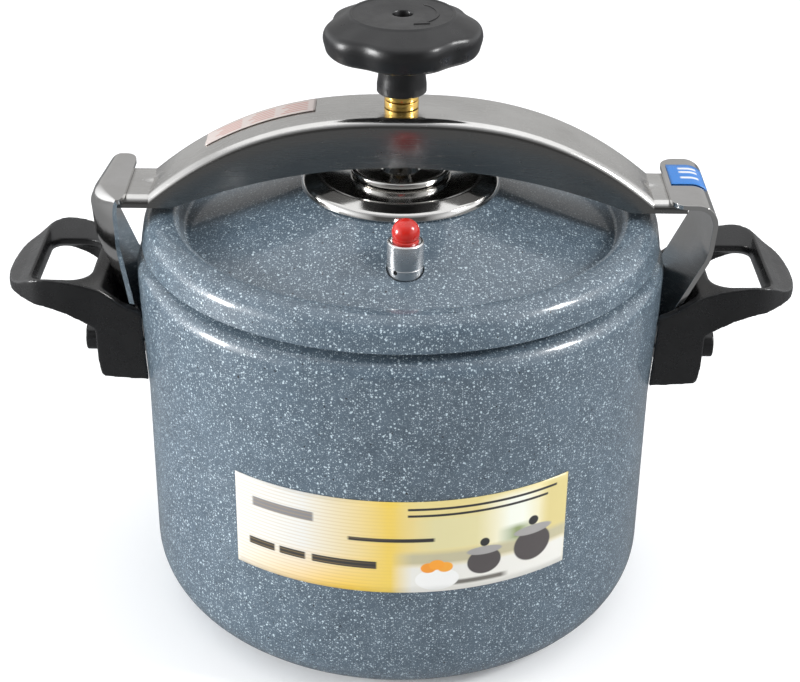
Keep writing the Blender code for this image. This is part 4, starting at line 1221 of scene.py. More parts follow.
@dataclass
class SideFitting:
    """One strap with its hook, handle, rivets, nut and bolt.

    Attributes:
        side: left or right.
        curl: 1 if the hook's front edge is curled in.
        bolt_height: Height of the handle's bolt.
        rivet_height: Height of the rivets.
        rivet_lean: Turn from the strap's middle to a rivet.
        handle_half: Half the handle's width.
        handle_base: Height of the handle's foot.
        handle_reach: Pot wall to the tip of the handle.
        boss: Where the bolt's boss starts and ends, off the pot wall.
        skin: Cell size of the handle's skin.
    """

    side: str
    curl: float = 0.0
    bolt_height: float = 0.1345
    rivet_height: float = 0.1435
    rivet_lean: float = radians(8)
    handle_half: float = 0.0373
    handle_base: float = 0.127
    handle_reach: float = 0.0698
    boss: Point2 = (0.015, 0.0325)
    skin: float = 0.0007

    @property
    def turn(self) -> float:
        """Turn about Z from +X to this side."""
        return pi if self.side == "left" else 0.0

    def place(
        self, piece: bpy.types.Object, lean: float = 0.0, height: float = 0.0
    ) -> bpy.types.Object:
        """Turn a piece made on +X to its side; with a height, lay a turned piece along X first."""
        if height:
            piece.location = (0, 0, height)
            piece.rotation_euler = (0, pi / 2, self.turn + lean)
        else:
            piece.rotation_euler = (0, 0, self.turn)
        return piece

    def build(self, shop: Workshop) -> None:
        """Build and dress every piece on this side."""
        sizes = shop.sizes
        shop.add(self.place(self.strap(sizes)), Body.POT, "strap", f"{self.side}_strap")
        shop.add(self.place(self.handle(sizes)), Body.POT, "bakelite", f"{self.side}_handle")
        nut = lathe(
            f"{self.side}_round_nut",
            ring_outline(0.0027, 0.006, sizes.strap_leg + GAP, sizes.strap_leg + 0.0025),
            40,
        )
        shop.add(self.place(nut, 0, self.bolt_height), Body.POT, "steel", f"{self.side}_weld_nut")
        bolt = lathe(f"{self.side}_pan_bolt", self.bolt_profile(sizes), 40)
        shop.add(
            self.place(bolt, 0, self.bolt_height), Body.POT, "steel", f"{self.side}_handle_bolt"
        )
        sign = 1 if self.side == "right" else -1
        for spot, lean in (("front", -sign), ("rear", sign)):
            rivet = lathe(f"{self.side}_{spot}_rivet_head", self.rivet_profile(sizes), 40)
            node = f"{self.side}_{spot}_rivet"
            shop.add(
                self.place(rivet, lean * self.rivet_lean, self.rivet_height),
                Body.POT,
                "aluminium",
                node,
            )

    def strap(self, sizes: Sizes) -> bpy.types.Object:
        """The bent strap."""
        rows = []
        tip = sizes.pot_radius + 0.001
        for x, z in sizes.strap_path():
            half = sizes.strap_half
            if z > sizes.tongue_top - 0.00001 and x - tip < 0.008:
                half -= 0.008 - sqrt(max(0.008**2 - (0.008 - (x - tip)) ** 2, 0))
            across = [half * (1 - 2 * column / 28) for column in range(29)]
            rows.append([sizes.strap_point(x, z, y, self.curl) for y in across])
        return grid_sheet(f"{self.side}_hook_strap", rows, sizes.strap_sheet, 0.0007)

    def bolt_profile(self, sizes: Sizes) -> list[Point2]:
        """Pan head with a driver recess, and its shank."""
        seat = sizes.pot_radius + self.boss[1] - 0.0065 + GAP
        foot = sizes.strap_leg - sizes.strap_sheet + GAP
        return [
            (0, seat + 0.0014), (0.0012, seat + 0.0015),
            (0.0018, seat + 0.0028), (0.0028, seat + 0.0027),
            (0.0038, seat + 0.0022), (0.0044, seat + 0.0013),
            (0.0045, seat), (0.0024, seat), (0.0024, foot), (0, foot),
        ]

    @staticmethod
    def rivet_profile(sizes: Sizes) -> list[Point2]:
        """Shank with a domed head at each end."""
        inner = sizes.pot_radius - sizes.pot_wall - GAP * 1.5
        outer = sizes.strap_leg + GAP * 1.5
        high = [
            (0.005 * cos(pi / 2 - step * pi / 12), outer + 0.0016 * sin(pi / 2 - step * pi / 12))
            for step in range(7)
        ]
        low = [
            (0.005 * cos(step * pi / 12), inner - 0.0016 * sin(step * pi / 12)) for step in range(7)
        ]
        return [
            (0, high[0][1]), *high[1:], (0.0024, outer), (0.0024, inner), *low[:-1], (0, low[-1][1])
        ]

    @staticmethod
    def finger_opening(pot: float, base: float) -> bpy.types.Object:
        """Cutter for the finger opening: narrowest at mid-height, flared above and below."""
        near, far = pot + 0.0245, pot + 0.0517
        levels = [
            (-0.03, near - 0.001, far + 0.001, 0.0327),
            (0.0430, near - 0.001, far + 0.001, 0.0327),
            (0.0485, near, far, 0.0242),
            (0.0515, near, far, 0.0242),
            (0.0580, near - 0.002, far + 0.002, 0.0355),
            (0.08, near - 0.002, far + 0.002, 0.0355),
        ]
        rings = []
        for height, start, end, half in levels:
            corners = [
                (start, -half, 0.011), (end, -half, 0.006), (end, half, 0.006), (start, half, 0.011)
            ]
            rings.append([(x, y, base + height) for x, y in rounded_path(corners, closed=True)])
        return ring_loft("finger_opening", rings)

    def handle(self, sizes: Sizes) -> bpy.types.Object:
        """The moulded handle: plan and side view intersected, cut to the pot, then softened."""
        pot, wide, base = sizes.pot_radius, self.handle_half, self.handle_base
        tip = pot + self.handle_reach
        half = [
            (pot - 0.012, wide - 0.0025, 0),
            (pot + 0.022, wide - 0.002, 0.02), (pot + 0.037, wide, 0.03),
            (tip - 0.0198, wide, 0.020), (tip - 0.0043, wide - 0.0148, 0.022),
        ]
        mirrored = [(x, -y, radius) for x, y, radius in half]
        outline = rounded_path([*mirrored, (tip, 0, 0.06), *reversed(half)], closed=True)
        body = outline_slab(f"{self.side}_grip", [outline], 0.05)
        body.data.transform(Matrix.Translation((0, 0, base + 0.03)))
        corners = [
            (-0.012, 0.0003, 0), (0.0200, 0.0030, 0.003),
            (0.0213, 0.0120, 0), (0.0218, 0.0300, 0.002),
            (0.0265, 0.0335, 0.004), (0.0360, 0.0395, 0.01),
            (0.0450, 0.0432, 0.02), (0.0653, 0.0450, 0.003),
            (0.0698, 0.0474, 0.002), (0.0666, 0.0494, 0.003),
            (0.0593, 0.0525, 0.01), (0.0522, 0.0572, 0.012),
            (0.0450, 0.0584, 0.012), (0.0360, 0.0574, 0.02),
            (0.0278, 0.0552, 0.02), (0.0180, 0.0515, 0.02),
            (0.0070, 0.0430, 0.02), (-0.012, 0.0345, 0),
        ]
        view = rounded_path([(pot + x, base + z, radius) for x, z, radius in corners], closed=True)
        boss_start, boss_end = pot + self.boss[0], pot + self.boss[1]
        boss_middle = (boss_start + boss_end) / 2
        boss_spot = (boss_middle, 0, self.bolt_height + 0.0002)
        boss = cylinder("boss", 0.0075, boss_end - boss_start, boss_spot, "X")
        outside = [(x + 0.003, z) for x, z in sizes.strap_path() if z < sizes.tongue_top - 0.012]
        low, high, deep = base - 0.02, outside[-1][1] + 0.02, pot - 0.04
        room = [(deep, low), (outside[0][0], low), *outside, (outside[-1][0], high), (deep, high)]
        clear = offset_path(sizes.pot_outside()[1:-1], -GAP * 1.3)
        combine(
            body,
            [
                ("INTERSECT", outline_slab("side_view", [view], wide + 0.02, True)),
                ("DIFFERENCE", self.finger_opening(pot, base)),
                ("UNION", boss),
                ("DIFFERENCE", outline_slab("strap_room", [room], sizes.strap_half + 0.0007, True)),
                ("DIFFERENCE", lathe("pot_room", [(0, sizes.pot_height), *clear, (0, 0)], 240)),
                (
                    "DIFFERENCE",
                    cylinder("shank_room", 0.0027, 0.08, (pot + 0.02, 0, self.bolt_height), "X"),
                ),
                (
                    "DIFFERENCE",
                    cylinder("head_room", 0.0048, 0.013, (boss_end, 0, self.bolt_height), "X"),
                ),
            ],
        )
        remesh = body.modifiers.new("Skin", "REMESH")
        remesh.mode = "VOXEL"
        remesh.voxel_size = self.skin
        soften = body.modifiers.new("Soften", "SMOOTH")
        soften.factor = 0.5
        soften.iterations = 6
        body.data = baked_mesh(body)
        body.modifiers.clear()
        body.data.shade_smooth()
        return body


@dataclass
class Lid:
    """The outer lid with its gasket, pressure disc and stud.

    Attributes:
        steps: Facets round the lid.
    """

    steps: int = 240

    def build(self, shop: Workshop) -> None:
        """Build and dress every piece of the lid but the valve."""
        sizes = shop.sizes
        under = sizes.lid_under()
        over = offset_path(under, sizes.lid_sheet)
        lid = lathe("lid_plate", [*reversed(over), *under], self.steps, 40)
        valve = ReleaseValve()
        x, y = valve.spot
        seat = valve.seat(sizes)
        low = seat - valve.floor
        boss = cylinder("boss", 0.012, seat + 0.02 - low, (x, y, (low + seat + 0.02) / 2), steps=64)
        middle = [
            point for point in offset_path(under, sizes.lid_sheet * 0.6) if point[0] < sizes.dish[0]
        ]
        bottom = low - 0.01
        solid = lathe(
            "below",
            [(0, middle[-1][1]), *reversed(middle), (sizes.dish[0], bottom), (0, bottom)],
            240,
        )
        combine(boss, [("INTERSECT", solid)])
        combine(
            lid,
            [
                ("UNION", boss),
                ("DIFFERENCE", cylinder("pocket", 0.00885, 0.04, (x, y, seat + 0.02), steps=64)),
                ("DIFFERENCE", cylinder("hole", 0.0051, 0.03, (x, y, seat))),
            ],
            40,
        )
        shop.add(lid, Body.LID, "coating", "lid_shell")
        bottom, outer = sizes.pot_height + GAP, sizes.neck - 0.0002
        gasket = lathe(
            "lid_seal", ring_outline(outer - 0.0065, outer, bottom, bottom + 0.0028, 0.0009), 160
        )
        shop.add(gasket, Body.LID, "rubber", "lid_gasket")
        shop.add(
            lathe("load_disc", self.disc_profile(sizes), 160, 30),
            Body.LID,
            "mirror",
            "pressure_disc",
        )
        shop.add(lathe("disc_rivet", self.stud_profile(sizes), 48), Body.LID, "steel", "disc_stud")

    @staticmethod
    def disc_profile(sizes: Sizes) -> list[Point2]:
        """Dished plate with a rounded bright rim."""
        low, top = sizes.disc_bottom, sizes.disc_top
        lip = low - 0.0012
        corners = [
            (0, top - 0.001, 0), (sizes.cup, top - 0.001, 0.05),
            (0.0395, top - 0.0004, 0.002), (0.0415, top, 0.002),
            (0.0487, low + 0.0022, 0.009), (0.0495, lip, 0.0004), (0.0483, lip, 0), (0.046, low, 0),
            (0.0043, low, 0), (0.0043, low + 0.0025, 0), (0, low + 0.0025, 0),
        ]
        return rounded_path(corners)

    @staticmethod
    def stud_profile(sizes: Sizes) -> list[Point2]:
        """Shank with a head under the lid."""
        top, head = sizes.disc_bottom + 0.0025 - GAP, sizes.hub_under - GAP
        corners = [
            (0, top, 0), (0.004, top, 0.0003), (0.004, head, 0),
            (0.0088, head, 0.0004), (0.0078, head - 0.0016, 0.001),
            (0.004, head - 0.0024, 0.001), (0, head - 0.0024, 0),
        ]
        return rounded_path(corners)


@dataclass
class ReleaseValve:
    """The turned release valve with its red cap.

    Attributes:
        offset: Distance of its axis from the lid's axis.
        angle: Direction of its axis.
        radius: Radius of its body.
        height: Height of its body.
        chamber: Foot of the body to the floor of its chamber.
        collar: Top of the body down to the foot of its collar.
        floor: Thickness of the pocket's floor.
        vent: Direction of the side vent.
        lifted: Share of the spring's length left when the plunger is up; not used.
    """

    offset: float = 0.076
    angle: float = radians(-88)
    radius: float = 0.0085
    height: float = 0.0172
    chamber: float = 0.0022
    collar: float = 0.0068
    floor: float = 0.0028
    vent: float = radians(-124)
    lifted: float = 0.5

    @property
    def spot(self) -> Point2:
        """Where its axis stands."""
        return (self.offset * cos(self.angle), self.offset * sin(self.angle))

    def seat(self, sizes: Sizes) -> float:
        """Floor of its pocket in the lid."""
        over = offset_path(sizes.lid_under(), sizes.lid_sheet)
        return height_on(over, self.offset + self.radius + 0.001)

    def at_spot(self, piece: bpy.types.Object) -> bpy.types.Object:
        """A piece made on the Z axis, moved to the valve's axis."""
        piece.location = (*self.spot, 0)
        return piece

    def build(self, shop: Workshop, frame: dict) -> None:
        """Build and dress the valve."""
        base = self.seat(shop.sizes) + GAP
        top, chamber = base + self.height, base + self.chamber
        body = lathe("valve_barrel", self.barrel_profile(base), 96, 30)
        vent_spot = (0.007 * cos(self.vent), 0.007 * sin(self.vent), base + 0.0038)
        vent = cylinder("vent", 0.0011, 0.006, vent_spot, "X", self.vent)
        combine(body, [("DIFFERENCE", vent)], 30)
        shop.add(self.at_spot(body), Body.LID, "aluminium", "valve_body")
        collar = lathe(
            "valve_guide", ring_outline(0.0026, 0.0051, top - self.collar, top - 0.0033), 64
        )
        shop.add(self.at_spot(collar), Body.LID, "aluminium", "valve_collar")
        under = self.seat(shop.sizes) - self.floor - GAP
        washer = lathe("valve_seal", ring_outline(0.0051, 0.009, under - 0.001, under), 64)
        shop.add(self.at_spot(washer), Body.LID, "rubber", "valve_washer")
        shop.keep(frame, "valve_nut", "aluminium")
        plunger = lathe("valve_stem", self.stem_profile(chamber, top), 48)
        shop.add(self.at_spot(plunger), Body.VALVE, "aluminium", "valve_plunger")
        cap = lathe("valve_red_cap", self.cap_profile(top), 96, 30)
        shop.add(self.at_spot(cap), Body.VALVE, "red", "valve_cap")
        foot = chamber + GAP + 0.0012 + GAP
        coil = shop.add(
            self.at_spot(self.coil(foot, top - self.collar - GAP)),
            Body.VALVE,
            "steel",
            "valve_spring",
        )
        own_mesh(coil)

    @staticmethod
    def coil(low: float, high: float) -> bpy.types.Object:
        """Spring of round wire between two heights."""
        wire, radius, turns, facets = 0.0004, 0.0036, 4, 10
        steps = turns * 40
        rings = []
        for step in range(steps + 1):
            angle = 2 * pi * turns * step / steps
            height = low + wire + (high - low - 2 * wire) * step / steps
            ring = []
            for facet in range(facets):
                around = 2 * pi * facet / facets
                reach = radius + wire * cos(around)
                ring.append((reach * cos(angle), reach * sin(angle), height + wire * sin(around)))
            rings.append(ring)
        return ring_loft("valve_coil", rings)

    def barrel_profile(self, base: float) -> list[Point2]:
        """Barrel, groove line, neck and bored chamber."""
        wide, top, chamber = self.radius, base + self.height, base + self.chamber
        neck_end = base - self.floor - 0.0052
        corners = [
            (wide - 0.0006, top, 0.0001), (wide, top - 0.0006, 0.0002), (wide, base + 0.0054, 0),
            (wide - 0.0004, base + 0.0052, 0), (wide - 0.0004, base + 0.0048, 0),
            (wide - 0.0002, base + 0.0046, 0),
            (wide - 0.0002, base + 0.0005, 0.0003), (wide - 0.0007, base, 0), (0.0048, base, 0),
            (0.0048, neck_end + 0.0004, 0), (0.0044, neck_end, 0),
            (0.0016, neck_end, 0), (0.0016, chamber - 0.001, 0),
            (0.0026, chamber, 0), (0.0054, chamber, 0), (0.0054, top - 0.003, 0),
            (0.0071, top - 0.003, 0), (0.0071, top, 0.0002),
        ]
        return rounded_path(corners, radians(20), closed=True)

    @staticmethod
    def stem_profile(chamber: float, top: float) -> list[Point2]:
        """Stem, flange and cone tip."""
        seat = chamber + GAP
        return [
            (0, top + 0.0026), (0.0022, top + 0.0026),
            (0.0022, seat + 0.0012), (0.0046, seat + 0.0012),
            (0.0048, seat + 0.001), (0.0048, seat), (0.0022, seat),
            (0.0013, chamber - 0.0008), (0, chamber - 0.0008),
        ]

    @staticmethod
    def cap_profile(top: float) -> list[Point2]:
        """Ball with a waist, two fine rings and a foot."""
        bottom, ball, radius = top - 0.0026, top + 0.0041, 0.0065
        outside = arc((0, ball), radius, pi / 2, -radians(30), 24)
        low = outside[-1][1]
        rings = [
            (0.00605, low - 0.0004), (0.0059, low - 0.0007),
            (0.0061, low - 0.0010), (0.0059, low - 0.0013),
            (0.0061, low - 0.0016), (0.0059, low - 0.0019), (0.0059, bottom),
        ]
        return [
            (0, ball + radius), *outside[1:], *rings, (0.0025, bottom), (0.0025, top + 0.0029),
            (0, top + 0.0029),
        ]


@dataclass
class ClampBow:
    """The arched channel with its bush and sticker.

    Attributes:
        half: Half the width of the channel.
        sheet: Its thickness.
        edge: Outer radius of its long edges.
        end: Half its length.
        flat: Where its flat ends begin.
        power: How late the arch falls away: 2 is a parabola.
        deep: Depth of the flanges at the middle.
        shallow: Depth of the flanges at the ends.
        taper: Where the flanges reach their least depth.
        paper: Start and length of the sticker along the bow.
    """

    half: float = 0.01975
    sheet: float = 0.0028
    edge: float = 0.0045
    end: float = 0.140
    flat: float = 0.1235
    power: float = 2.55
    deep: float = 0.0242
    shallow: float = 0.0058
    taper: float = 0.1125
    paper: Point2 = (-0.0965, 0.0545)

    def top(self, sizes: Sizes, x: float) -> float:
        """Height of the arch at x, eased into the flat ends."""
        share = min(abs(x) / self.flat, 1)
        return sizes.bow_top - (sizes.bow_top - sizes.bow_end_top) * share**self.power

    def depth(self, sizes: Sizes, x: float) -> float:
        """Depth of the flanges at x."""
        full = sizes.bow_top - self.deep
        lowest = sizes.bow_end_top - self.shallow
        low = full - (full - lowest) * min(abs(x) / self.taper, 1) ** 2
        return max(self.top(sizes, x) - low, self.shallow)

    def section(self, sizes: Sizes, x: float) -> list[Point3]:
        """Outer side of the channel at x."""
        top, depth = self.top(sizes, x), self.depth(sizes, x)
        corner = arc((-self.half + self.edge, -self.edge), self.edge, pi, pi / 2, 8)
        levels = [-depth + (depth - self.edge) * step / 4 for step in range(4)]
        front = [(-self.half, level) for level in levels] + corner
        web = [((self.half - self.edge) * step / 10, 0.0) for step in range(-9, 10)]
        rear = [(-y, z) for y, z in reversed(front)]
        points = []
        for y, z in [*front, *web, *rear]:
            dent = 0.0009 * exp(-(((abs(x) - 0.1245) / 0.0032) ** 2) - (y / 0.0030) ** 2)
            points.append((x, y, top + z - dent))
        return points

    def build(self, shop: Workshop) -> None:
        """Build and dress the bow, its sticker and its bush."""
        sizes = shop.sizes
        inner = [self.flat * sin(pi / 2 * step / 44) for step in range(45)]
        outer = [self.flat + (self.end - self.flat) * step / 12 for step in range(1, 13)]
        stations = [-x for x in reversed((inner + outer)[1:])] + inner + outer
        bar = grid_sheet("bow_channel", [self.section(sizes, x) for x in stations], self.sheet)
        combine(
            bar,
            [("DIFFERENCE", cylinder("bush_hole", 0.0075, 0.02, (0, 0, sizes.bow_top), steps=64))],
            40,
        )
        add_bevel(bar, 0.0005)
        shop.add(bar, Body.BOW, "bow", "bow_bar")
        rows = []
        for step in range(41):
            x = self.paper[0] + self.paper[1] * step / 40
            height = self.top(sizes, x) + GAP + 0.0003
            rows.append([(x, -0.0012 + 0.0157 * column / 8, height) for column in range(9)])
        sticker = grid_sheet("bow_paper", rows, 0.0002, uv=True)
        shop.add(sticker, Body.BOW, "pale", "bow_sticker")
        self.build_bush(shop)

    def build_bush(self, shop: Workshop) -> None:
        """The brass bush, its washer and nut."""
        sizes = shop.sizes
        seat, under = sizes.bow_top + GAP, sizes.bow_top - self.sheet - GAP
        nut_top = under - 0.0012 - GAP
        bore = sizes.spindle + GAP
        corners = [
            (0.0084, seat + 0.0036, 0.0006), (0.0084, seat, 0.0002),
            (0.0072, seat, 0), (0.0072, nut_top - 0.005, 0.0004),
            (bore, nut_top - 0.005, 0.0003), (bore, seat + 0.0036, 0.0004),
        ]
        bush = lathe("brass_bush", rounded_path(corners, radians(20), closed=True), 96, 30)
        shop.add(bush, Body.BOW, "brass", "bow_bushing")
        washer = lathe("bush_washer", ring_outline(0.0075, 0.0125, under - 0.0012, under), 96)
        shop.add(washer, Body.BOW, "steel", "bushing_washer")
        height = 0.0045
        nut = cylinder("bush_nut", 0.0125, height, (0, 0, nut_top - height / 2), steps=6)
        combine(nut, [("DIFFERENCE", cylinder("nut_bore", 0.0075, 0.02, (0, 0, nut_top)))], 20)
        add_bevel(nut, 0.0004, 40)
        shop.add(nut, Body.BOW, "steel", "bushing_nut")


@dataclass
class ScrewKnob:
    """The spindle, its cup and the five-lobed knob.

    Attributes:
        radius: Radius to the tip of a lobe.
        groove: Depth of the grooves between the lobes.
        groove_width: Angle over which a groove fades.
        groove_angle: Direction of one groove.
        lobes: How many lobes.
        face: Radius of the knob's top face.
        height: Height of the knob above its stem.
        recess: Depth of the hole in its top.
        pitch: Rise of the thread in one turn.
    """

    radius: float = 0.0388
    groove: float = 0.0034
    groove_width: float = radians(14)
    groove_angle: float = radians(-48)
    lobes: int = 5
    face: float = 0.0262
    height: float = 0.0185
    recess: float = 0.009
    pitch: float = 0.0025

    def build(self, shop: Workshop) -> None:
        """Build and dress the cup, the spindle and the knob."""
        sizes = shop.sizes
        shop.add(
            lathe("load_cup", self.cup_profile(sizes), 128, 30), Body.PAD, "mirror", "thrust_cup"
        )
        shop.add(self.spindle(sizes), Body.SCREW, "steel", "spindle")
        clip_top = sizes.cup_bottom + 0.0034 - GAP
        clip = lathe(
            "retaining_ring", ring_outline(0.0033, 0.0055, clip_top - 0.0009, clip_top), 64
        )
        shop.add(clip, Body.SCREW, "steel", "spindle_clip")
        shop.add(self.insert(sizes), Body.SCREW, "brass", "knob_insert")
        shop.add(self.knob(sizes), Body.SCREW, "knob", "knob")
        shop.add(self.arrow(sizes), Body.SCREW, "knob")
        shop.add(
            lathe("knob_fixing", self.fixing_profile(sizes), 48), Body.SCREW, "steel", "knob_screw"
        )

    @staticmethod
    def cup_profile(sizes: Sizes) -> list[Point2]:
        """Pressed cup: rolled rim, raised boss."""
        low, wide, neck = sizes.cup_bottom, sizes.cup, 0.0033
        inside, boss = low + 0.0015, low + 0.0049
        corners = [
            (neck, boss, 0), (0.0078, boss, 0.001),
            (0.0098, inside, 0.001), (wide - 0.003, inside, 0.001),
            (wide - 0.0022, low + 0.0036, 0.0006), (wide, low + 0.0033, 0.001),
            (wide - 0.0003, low + 0.0008, 0.001),
            (wide - 0.0015, low, 0.0006), (0.009, low, 0.0006),
            (0.0072, boss - 0.0015, 0.0006), (neck, boss - 0.0015, 0),
        ]
        return rounded_path(corners, radians(15))

    def spindle(self, sizes: Sizes) -> bpy.types.Object:
        """Rod with a rolled thread, shouldered at its lower end."""
        low = sizes.cup_bottom + 0.0049 + GAP
        high = sizes.knob_flange + 0.004
        steps, levels = 48, 330
        rings = []
        tail = low - 0.0033
        for radius, height in ((0.0027, tail), (0.003, tail + 0.0003), (0.003, low)):
            rings.append(
                [
                    (radius * cos(2 * pi * s / steps), radius * sin(2 * pi * s / steps), height)
                    for s in range(steps)
                ]
            )
        for level in range(levels + 1):
            height = low + (high - low) * level / levels
            loop = []
            for step in range(steps):
                angle = 2 * pi * step / steps
                phase = (height / self.pitch - angle / (2 * pi)) % 1
                cut = 0.0008 * max(0.0, 1 - abs(phase - 0.5) / 0.36)
                radius = sizes.spindle - (cut if 0 < level < levels else 0.0004)
                loop.append((radius * cos(angle), radius * sin(angle), height))
            rings.append(loop)
        return ring_loft("screw_spindle", rings, 40)

    @staticmethod
    def insert(sizes: Sizes) -> bpy.types.Object:
        """Brass ring and sleeve in the knob's stem."""
        bore = sizes.spindle + GAP
        bottom = sizes.bow_top + 0.0036 + 2 * GAP
        shelf, sleeve, top = bottom + 0.0033, bore + 0.0016, sizes.knob_flange
        corners = [
            (sleeve, top, 0), (sleeve, shelf, 0), (0.0084, shelf, 0.0003),
            (0.0084, bottom, 0.0005), (bore, bottom, 0.0003), (bore, top, 0),
        ]
        return lathe("brass_insert", rounded_path(corners, radians(20), closed=True), 96, 30)

    def knob(self, sizes: Sizes) -> bpy.types.Object:
        """The moulded knob with its rim line and recess."""
        steps = 240
        low, wide = sizes.knob_flange, self.radius
        foot, high = low - 0.0208, low + self.height
        stem = 0.0121
        corners = [
            (stem - 0.0006, foot, 0), (stem, foot + 0.0005, 0.0003), (stem, foot + 0.004, 0.004),
            (stem - 0.0007, foot + 0.009, 0.01),
            (stem - 0.0002, low, 0.0025), (wide - 0.012, low, 0.004),
            (wide - 0.0022, low - 0.0005, 0.0036), (wide, low + 0.008, 0.007),
            (wide - 0.0012, low + 0.0125, 0.006),
            (self.face, high - 0.0009, 0.0006), (self.face - 0.0010, high, 0.0004),
            (self.face - 0.0018, high, 0.0002),
            (self.face - 0.0022, high - 0.0004, 0.0002),
            (0.0062, high - 0.0004, 0), (0.0052, high - 0.0006, 0.0003),
            (0.0048, high - 0.0012, 0), (0.0048, high - self.recess, 0),
        ]
        rings, spacing = [], 2 * pi / self.lobes
        for radius, height in rounded_path(corners):
            share = min(max((radius - self.face) / (self.radius - self.face), 0), 1)
            share = 0 if height < low - 0.0006 else share
            loop = []
            for step in range(steps):
                angle = 2 * pi * step / steps
                away = (angle - self.groove_angle + spacing / 2) % spacing - spacing / 2
                reach = radius - self.groove * share * exp(-((away / self.groove_width) ** 2))
                loop.append((reach * cos(angle), reach * sin(angle), height))
            rings.append(loop)
        return ring_loft("grip_knob", rings, 40)

    def arrow(self, sizes: Sizes) -> bpy.types.Object:
        """A low raised arc with an arrowhead that shows the closing direction."""
        low = sizes.knob_flange + self.height - 0.0005
        outline = arc((0, 0), 0.0175, radians(-50), radians(52), 28)
        outline += arc((0, 0), 0.0161, radians(52), radians(-50), 28)
        head = [(0.0136, -50.0), (0.0168, -72.0), (0.0200, -50.0)]
        outline += [
            (radius * cos(radians(turn)), radius * sin(radians(turn))) for radius, turn in head
        ]
        points = [(x, y, low + lift) for lift in (0.0, 0.0004) for x, y in outline]
        count = len(outline)
        faces: list[Sequence[int]] = [tuple(range(count))[::-1], tuple(range(count, 2 * count))]
        faces += [
            (step, (step + 1) % count, (step + 1) % count + count, step + count)
            for step in range(count)
        ]
        return mesh_object("turn_arrow", points, faces, 30)

    def fixing_profile(self, sizes: Sizes) -> list[Point2]:
        """Domed screw head with a recess."""
        seat = sizes.knob_flange + self.height - self.recess + GAP
        end = sizes.knob_flange + 0.004 + GAP
        return [
            (0, seat + 0.001), (0.001, seat + 0.0011),
            (0.0014, seat + 0.0022), (0.0026, seat + 0.002),
            (0.0034, seat + 0.0014), (0.0036, seat + 0.0008),
            (0.0036, seat), (0.0019, seat), (0.0019, end), (0, end),
        ]


@dataclass
class CapacitySticker:
    """The small blue sticker over the bend of the right hook.

    Attributes:
        front: Its front edge, across the strap.
        rear: Its rear edge, across the strap.
        drop: How far it reaches down over the bend.
        inset: Pot wall to its inner edge.
    """

    front: float = -0.004
    rear: float = 0.020
    drop: float = 0.0035
    inset: float = 0.0025

    def build(self, shop: Workshop) -> None:
        """Build and dress the sticker."""
        sizes = shop.sizes
        raised = offset_path(sizes.strap_path(), GAP + 0.0002)
        low, near = sizes.tongue_top - self.drop, sizes.pot_radius + self.inset
        chosen = [(x, z) for x, z in raised if z > low and x > near]
        across = [self.rear + (self.front - self.rear) * step / 8 for step in range(9)]
        rows = [[sizes.strap_point(x, z, y, 0) for y in across] for x, z in chosen]
        sticker = grid_sheet("capacity_paper", rows, 0.0002, uv=True)
        shop.add(sticker, Body.POT, "blue", "capacity_sticker")


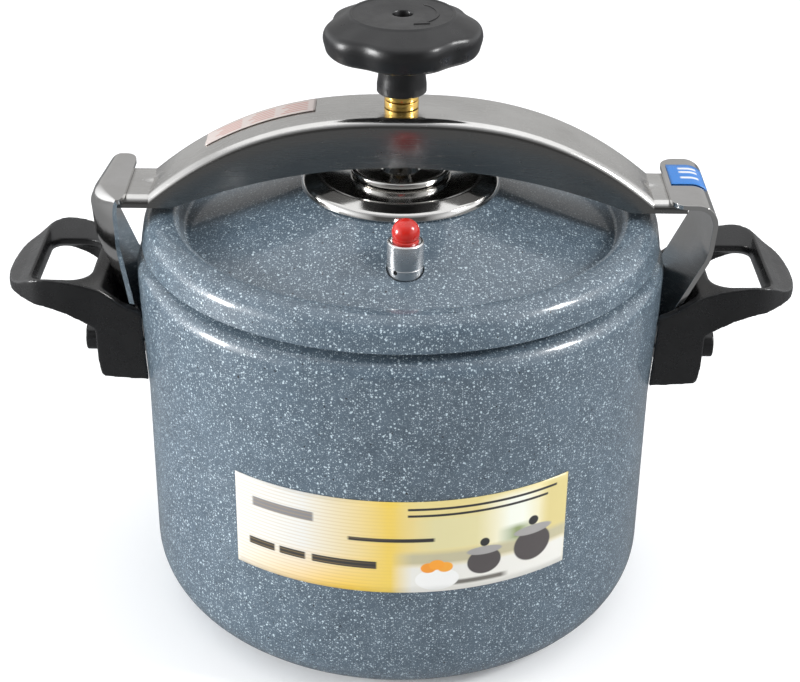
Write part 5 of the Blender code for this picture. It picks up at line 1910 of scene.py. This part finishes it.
@dataclass
class Studio:
    """Floor, lights, world and camera.

    Attributes:
        eye: Where the camera stands.
        aim: The point at the middle of its lens axis.
        focal_px: Focal length for a frame 800 wide.
        axis_px: Where the lens axis meets the frame, across.
    """

    eye: Point3 = (0.0, -0.7947, 0.5737)
    aim: Point3 = (-0.0204, 0.0, 0.1328)
    focal_px: float = 1740.5
    axis_px: float = 359.5

    def build(self) -> None:
        """Set everything up."""
        self.floor()
        self.world()
        self.softbox("top_box", (0.0, 0.30, 2.0), (0, 0, 0.15), 3.2, 2.6, 17.0)
        self.softbox("left_box", (-1.80, -0.40, 0.42), (0, 0, 0.14), 0.40, 0.50, 32.0)
        self.softbox("right_box", (1.50, -0.35, 1.20), (0, 0, 0.18), 0.36, 0.48, 19.0)
        self.camera()

    @staticmethod
    def floor() -> None:
        """A wide pale floor, painted nearly black where glossy surfaces reflect it."""
        points = [(-6, -6, 0), (6, -6, 0), (6, 6, 0), (-6, 6, 0)]
        floor = mesh_object("floor", points, [(0, 1, 2, 3)])
        material = bpy.data.materials.new("pale_floor")
        material.use_nodes = True
        graph = Graph(material.node_tree)
        shader = material.node_tree.nodes["Principled BSDF"]
        # Painted reflection: glossy rays see the floor nearly black, a dark room painted into the
        # reflections.
        mirrored = graph.node("ShaderNodeLightPath").outputs["Is Glossy Ray"]
        graph.put(
            shader.inputs["Base Color"],
            graph.mix(mirrored, (0.94, 0.94, 0.94), (0.06, 0.063, 0.067)),
        )
        shader.inputs["Roughness"].default_value = 0.7
        shader.inputs["Emission Color"].default_value = (1, 1, 1, 1)
        shader.inputs["Emission Strength"].default_value = 0.13
        floor.data.materials.append(material)

    @staticmethod
    def world() -> None:
        """Soft room light: pale above and behind the object, darker on the near side."""
        world = bpy.data.worlds.new("room")
        world.use_nodes = True
        graph = Graph(world.node_tree)
        background = world.node_tree.nodes["Background"]
        direction = graph.node("ShaderNodeSeparateXYZ")
        graph.put(direction.inputs[0], graph.node("ShaderNodeTexCoord").outputs["Generated"])
        rear = graph.ramp(direction.outputs[1], -0.35, 0.5, 0.10, 0.55)
        left = graph.ramp(direction.outputs[0], -0.45, -0.92)
        right = graph.ramp(direction.outputs[0], 0.45, 0.92)
        up = graph.ramp(direction.outputs[2], 0.35, 0.85, 0.0, 1.0)
        walls = graph.mix(left, graph.mix(right, rear, (1.35, 1.37, 1.40)), (1.75, 1.78, 1.82))
        graph.put(background.inputs["Color"], graph.mix(up, walls, (0.62, 0.63, 0.65)))
        background.inputs["Strength"].default_value = 1.0
        bpy.context.scene.world = world

    @staticmethod
    def softbox(
        name: str, spot: Point3, aim: Point3, wide: float, tall: float, power: float
    ) -> None:
        """A rectangular light that faces a point."""
        light = bpy.data.lights.new(name, "AREA")
        light.shape = "RECTANGLE"
        light.size, light.size_y, light.energy = wide, tall, power
        lamp = bpy.data.objects.new(name, light)
        lamp.location = spot
        lamp.rotation_euler = (Vector(aim) - Vector(spot)).to_track_quat("-Z", "Y").to_euler()
        bpy.context.scene.collection.objects.link(lamp)

    def camera(self) -> None:
        """The camera, with the small shift that frames the object."""
        data = bpy.data.cameras.new("view")
        data.sensor_width = 36
        data.lens = self.focal_px * 36 / 800
        data.shift_x = (400 - self.axis_px) / 800
        camera = bpy.data.objects.new("view", data)
        camera.location = self.eye
        camera.rotation_euler = (
            Vector(self.aim) - Vector(self.eye)
        ).to_track_quat("-Z", "Y").to_euler()
        bpy.context.scene.collection.objects.link(camera)
        bpy.context.scene.camera = camera


def main() -> None:
    """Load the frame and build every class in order."""
    logging.basicConfig(level=logging.INFO, format="%(message)s")
    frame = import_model()
    bpy.context.scene.view_settings.view_transform = "Standard"
    shop = Workshop(finishes())
    PotBody().build(shop)
    SideFitting("left", 1.0).build(shop)
    SideFitting("right").build(shop)
    CapacitySticker().build(shop)
    Lid().build(shop)
    ReleaseValve().build(shop, frame)
    ClampBow().build(shop)
    ScrewKnob().build(shop)
    Studio().build()
    LOG.info("%d fine pieces", shop.count)


if __name__ == "__main__":
    main()
